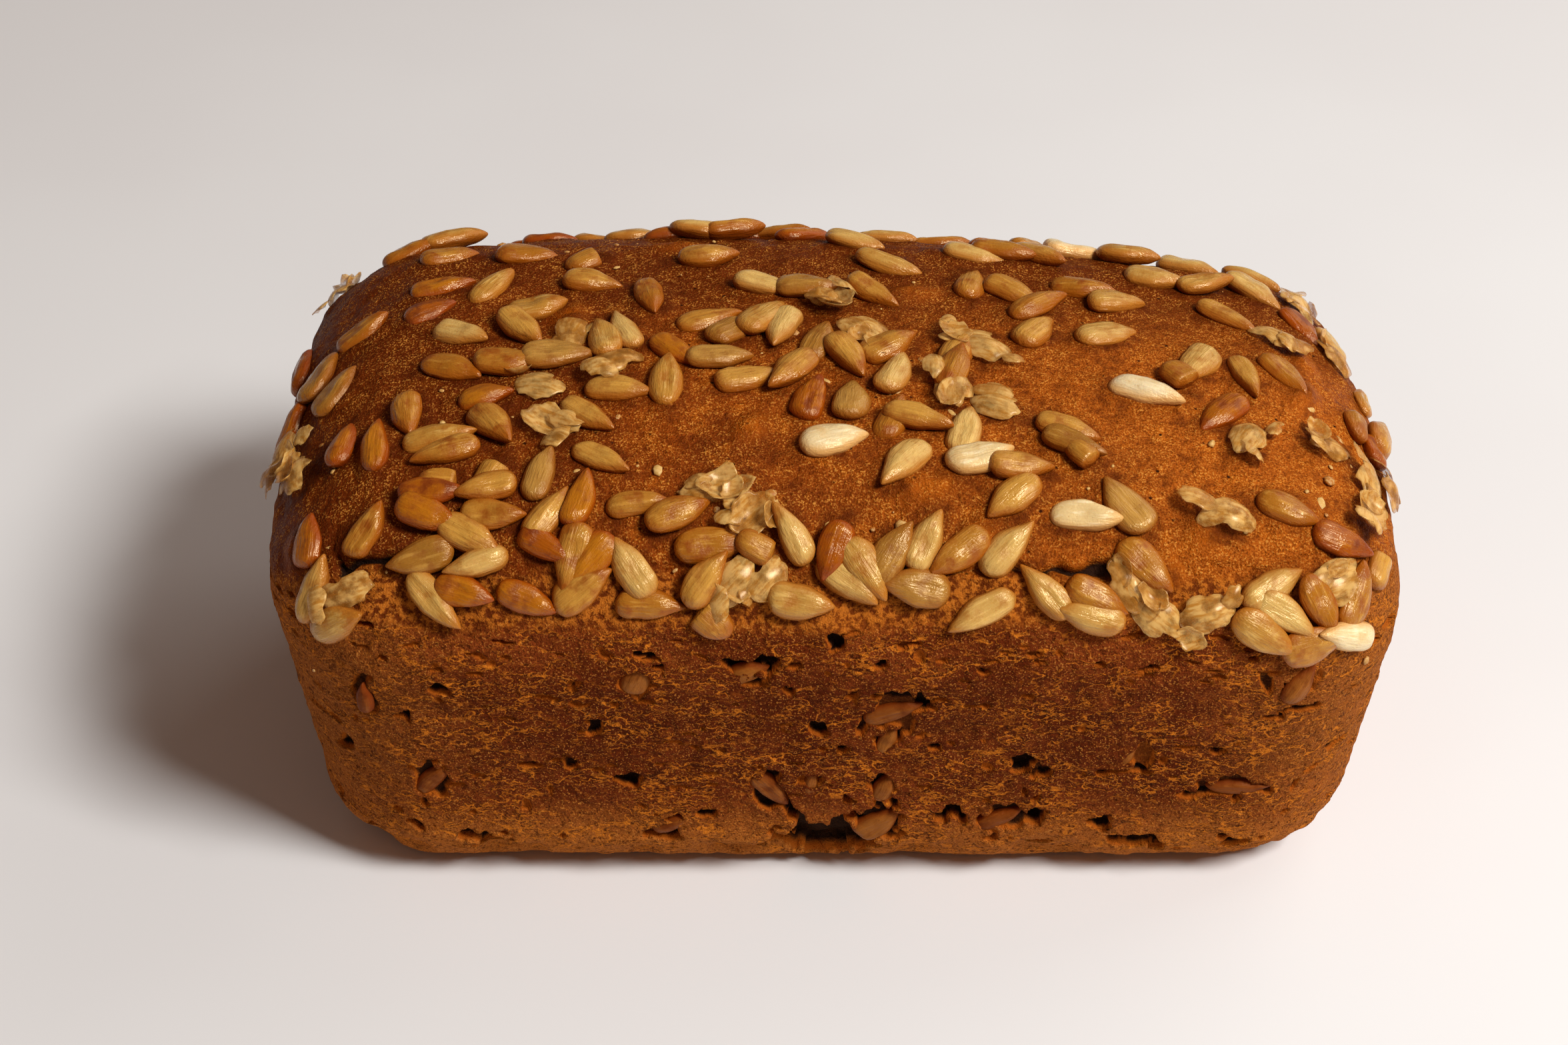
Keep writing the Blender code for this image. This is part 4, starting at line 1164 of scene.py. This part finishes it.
def flake_sheet(kernel, draw, first):
    """A torn shell of husk: its upper side, then its lower side, as rings round the middle."""
    reach = np.linspace(0, 1, FLAKE_RINGS + 1)[1:]
    turn = np.linspace(0, math.tau, FLAKE_SIDES, endpoint=False)
    half = np.array(kernel["size"]) / 2 * (1.0 if first else draw.uniform(*LATER_SHEET_SIZE))
    torn = np.array([1 - MOST_FRAY * draw.random() ** 2 for _ in range(FLAKE_SIDES)])
    torn = (torn + np.roll(torn, 1)) / 2
    tear = draw.uniform(0, math.tau)
    torn *= 1 - draw.uniform(*TEAR_DEPTH) * hump((turn - tear + math.pi) % math.tau - math.pi, TEAR_WIDTH)
    x = np.append((reach[:, None] * np.cos(turn) * torn).ravel() * half[0], 0.0)
    y = np.append((reach[:, None] * np.sin(turn) * torn).ravel() * half[1], 0.0)
    shift = np.array([draw.uniform(0, 1) for _ in range(3)])
    flat = np.stack([x, y, np.zeros(len(x))], axis=1)
    spread = np.minimum((x / half[0]) ** 2 + (y / half[1]) ** 2, 1.2)
    folds = np.abs(np.sin(np.arctan2(y, x) * draw.choice(FOLD_TURNS) + draw.uniform(0, math.tau)))
    bow = draw.uniform(*FLAKE_BOW) * half[1] * draw.choice((1, 1, -1))
    z = bow * (1 - spread) + draw.uniform(*FOLD_HEIGHT) * MM * folds * spread
    z += mixed_lumps(flat + shift, FLAKE_LUMPS) * MM
    z -= z.min() - 0.1 * MM
    upper = np.stack([x, y, z], axis=1)
    lower = upper - np.array([0, 0, FLAKE_THICKNESS])
    points = np.concatenate([upper, lower])
    if not first:
        along, across = draw.uniform(-0.5, 0.5) * kernel["size"].x, draw.uniform(-0.5, 0.5) * kernel["size"].y
        place = np.array(Vector((along, across, draw.uniform(0.3, 1.0) * MM)))
        turned = Matrix.Rotation(draw.uniform(0, math.tau), 3, "Z")
        turned = turned @ Matrix.Rotation(draw.uniform(-0.7, 0.7), 3, "X")
        points = points @ np.array(turned).T + place
    return points, shift


def flake_faces():
    """Triangles and quads of both sides of a shell and of the thin edge between them."""
    middle = FLAKE_RINGS * FLAKE_SIDES
    count = middle + 1
    last = middle - FLAKE_SIDES
    faces, edge = [], []
    for side in range(FLAKE_SIDES):
        step = (side + 1) % FLAKE_SIDES
        faces.append((middle, side, step))
        for inner in range(0, last, FLAKE_SIDES):
            outer = inner + FLAKE_SIDES
            faces.append((inner + side, outer + side, outer + step, inner + step))
        edge.append((last + side, last + side + count, last + step + count, last + step))
    lower = [tuple(v + count for v in reversed(face)) for face in faces]
    return faces + lower + edge


HUSK_COLOURS = {
    "light": (0.80, 0.48, 0.145),
    "fibre": (0.57, 0.245, 0.035),
    "dark": (0.45, 0.165, 0.018),
}
HUSK_ROUGHNESS = 0.24
HUSK_GLOSS = 0.4
HUSK_SHEEN = (1.0, 0.85, 0.62, 1)
HUSK_BUMP = 0.12 * MM


def husk_material():
    material, s, shader = new_material("husk")
    own, tone = s.value_of("own", "Vector"), s.value_of("tone")
    drawn = s.add("ShaderNodeMapping", Vector=own, Scale=(0.2, 1.0, 1.0)).outputs[0]
    fibres = s.noise(drawn, 1.6, 4.0, 0.6)
    blotch = s.noise(own, 0.5)
    darker = s.ramp(s.plus(blotch, s.times(tone, 0.45)), 0.62, 0.98, 0.0, 0.8)
    layers = ((s.ramp(fibres, 0.40, 0.66), "fibre"), (darker, "dark"))
    colour = s.lay_over(HUSK_COLOURS["light"], HUSK_COLOURS, layers)
    s.feed(shader, Base_Color=colour, Alpha=s.ramp(blotch, 0.36, 0.64, 0.74, 0.30))
    s.feed(shader, Specular_IOR_Level=HUSK_GLOSS, Specular_Tint=HUSK_SHEEN, Roughness=HUSK_ROUGHNESS)
    s.feed(shader, Normal=s.bump(fibres, 0.3, HUSK_BUMP))
    return material


def make_flakes():
    """Every flake as a heap of two to four sheets, where later ones lie on the first, all in one mesh."""
    draw = random.Random(FLAKE_SEED)
    sheet_faces = flake_faces()
    points, own, tones, faces = [], [], [], []
    for kernel in kernels:
        if kernel["kind"] != "h":
            continue
        to_loaf = kernel_matrix(kernel)
        for number in range(draw.choice(SHEETS_IN_A_HEAP)):
            sheet, shift = flake_sheet(kernel, draw, number == 0)
            faces.extend([[v + len(points) for v in face] for face in sheet_faces])
            points.extend(to_loaf @ Vector(place) for place in sheet)
            own.extend(Vector(place) / MM + Vector(shift) * 100 for place in sheet)
            tones.extend([draw.random()] * len(sheet))
    values = {"own": np.array(own), "tone": np.array(tones)}
    mesh_piece("husk_flakes", np.array(points), faces, husk_material(), values)


make_flakes()


# The crumbs. Chips of kernel and husk and grains of meal stuck to the crust, mostly close to the kernels they
# came off. One mesh of small uneven grains. Chance places too near the dome's edge are left out.

CRUMBS = 300
CRUMB_SEED = 77
CRUMB_RINGS = 5
CRUMB_SIDES = 7
CRUMB_SIZE = (-0.95, 0.5)
CRUMB_AWAY = (3.2, 8.5)
CRUMB_MARGIN = 5 * MM
CRUMB_SHAPE = ((0.7, 1.6), (0.6, 1.1), (0.25, 0.5))
CRUMB_SEAT = 0.18
CRUMB_COLOURS = {
    "light": (0.60, 0.34, 0.090),
    "brown": (0.42, 0.150, 0.020),
    "speck": (0.74, 0.50, 0.20),
}


def crumb_material():
    material, s, shader = new_material("crumb")
    where = s.add("ShaderNodeTexCoord").outputs["Object"]
    specks = s.ramp(s.noise(where, 2400.0), 0.45, 0.6, 0.0, 0.5)
    layers = ((s.ramp(s.value_of("tone"), 0.2, 0.8), "brown"), (specks, "speck"))
    colour = s.lay_over(CRUMB_COLOURS["light"], CRUMB_COLOURS, layers)
    s.feed(shader, Base_Color=colour, Roughness=0.5, Specular_IOR_Level=0.3)
    return material


def make_crumbs():
    draw = random.Random(CRUMB_SEED)
    on_top = [kernel for kernel in kernels if kernel["kind"] != "w"]
    turn = np.linspace(0, math.tau, CRUMB_SIDES, endpoint=False)
    ring_at = np.linspace(0, math.pi, CRUMB_RINGS + 1)
    unit = [[np.sin(a) * np.cos(t), np.sin(a) * np.sin(t), np.cos(a)] for a in ring_at for t in turn]
    unit = np.array(unit)
    quads = ring_faces(CRUMB_RINGS, CRUMB_SIDES)
    points, faces, tones = [], [], []
    for number in range(CRUMBS):
        beside = draw.choice(on_top)
        away = Vector((draw.gauss(0, 1), draw.gauss(0, 1), 0)).normalized() * draw.uniform(*CRUMB_AWAY) * MM
        start = beside["place"] + away
        if abs(start.x) > RIM_HALF_LENGTH - CRUMB_MARGIN or abs(start.y) > RIM_HALF_WIDTH - CRUMB_MARGIN:
            continue
        place = cast(np.array([[start.x, start.y, FAN_HEIGHT]]), np.array([[0.0, 0.0, 1.0]]))
        normal = outward(place)[0]
        size = draw.lognormvariate(*CRUMB_SIZE) * MM
        reach = np.array([draw.uniform(*span) for span in CRUMB_SHAPE]) * size
        turned = np.array(Matrix.Rotation(draw.uniform(0, math.tau), 3, "Z"))
        grain = unit * (1 + 0.3 * lumps(unit * 1.3 + number, 1.0))[:, None] * reach
        upright = np.array(Vector((0, 0, 1)).rotation_difference(Vector(normal)).to_matrix())
        points.append(grain @ turned.T @ upright.T + place[0] + normal * size * CRUMB_SEAT)
        faces.append(quads + len(faces) * len(unit))
        tones.append(np.full(len(unit), draw.random()))
    faces = np.concatenate(faces).tolist()
    mesh_piece("crumbs", np.concatenate(points), faces, crumb_material(), {"tone": np.concatenate(tones)})


make_crumbs()


# The stage. A plain pale floor, a soft lamp high on the right, a weaker one behind on the right, a dim warm
# room, and a camera at the photograph's angle.

FLOOR_HALF_WIDTH = 3.0
FLOOR_DROP = 0.05 * MM
FLOOR_TINTS = (0.81, 0.800, 0.790), (0.83, 0.825, 0.815)
LAMPS_AIM = (0, 0, 0.03)
ROOM_COLOUR = (1.0, 0.69, 0.54, 1)
ROOM_STRENGTH = 0.15
CAMERA_ELEVATION = 37.62
CAMERA_DISTANCE = 0.556
CAMERA_AIM = (-8.26 * MM, 49.27 * MM, 0)
CAMERA_LENS = 69.9


def make_floor():
    bm = bmesh.new()
    bmesh.ops.create_grid(bm, x_segments=1, y_segments=1, size=FLOOR_HALF_WIDTH)
    mesh = bpy.data.meshes.new("floor")
    bm.to_mesh(mesh)
    bm.free()
    material, s, shader = new_material("floor")
    where = s.add("ShaderNodeTexCoord").outputs["Object"]
    tint = s.blend(s.ramp(s.noise(where, 6.0), 0.4, 0.6), *FLOOR_TINTS)
    s.feed(shader, Base_Color=tint, Roughness=0.75)
    mesh.materials.append(material)
    floor = bpy.data.objects.new("floor", mesh)
    floor.location.z = -FLOOR_DROP
    scene.collection.objects.link(floor)


def soft_lamp(name, place, width, power, colour):
    data = bpy.data.lights.new(name, "AREA")
    data.shape = "RECTANGLE"
    data.size, data.size_y = width, width
    data.energy = power
    data.color = colour
    lamp = bpy.data.objects.new(name, data)
    lamp.location = place
    lamp.rotation_euler = (Vector(place) - Vector(LAMPS_AIM)).to_track_quat("Z", "Y").to_euler()
    scene.collection.objects.link(lamp)


make_floor()
soft_lamp("key", place=(0.62, -0.47, 0.93), width=0.34, power=15.2, colour=(1.0, 0.995, 0.985))
soft_lamp("back_right_fill", place=(0.75, 0.60, 0.70), width=0.9, power=3.0, colour=(1.0, 0.985, 0.97))
world = bpy.data.worlds.new("room")
world.use_nodes = True
world.node_tree.nodes["Background"].inputs["Color"].default_value = ROOM_COLOUR
world.node_tree.nodes["Background"].inputs["Strength"].default_value = ROOM_STRENGTH
scene.world = world
scene.view_settings.view_transform = "Standard"

camera = bpy.data.objects.new("camera", bpy.data.cameras.new("camera"))
lowered = math.radians(CAMERA_ELEVATION)
away = Vector((0, -math.cos(lowered), math.sin(lowered))) * CAMERA_DISTANCE
camera.location = Vector(CAMERA_AIM) + away
camera.rotation_euler = (math.pi / 2 - lowered, 0, 0)
camera.data.lens = CAMERA_LENS
camera.data.sensor_width = 36
camera.data.clip_start = 0.01
scene.collection.objects.link(camera)
scene.camera = camera
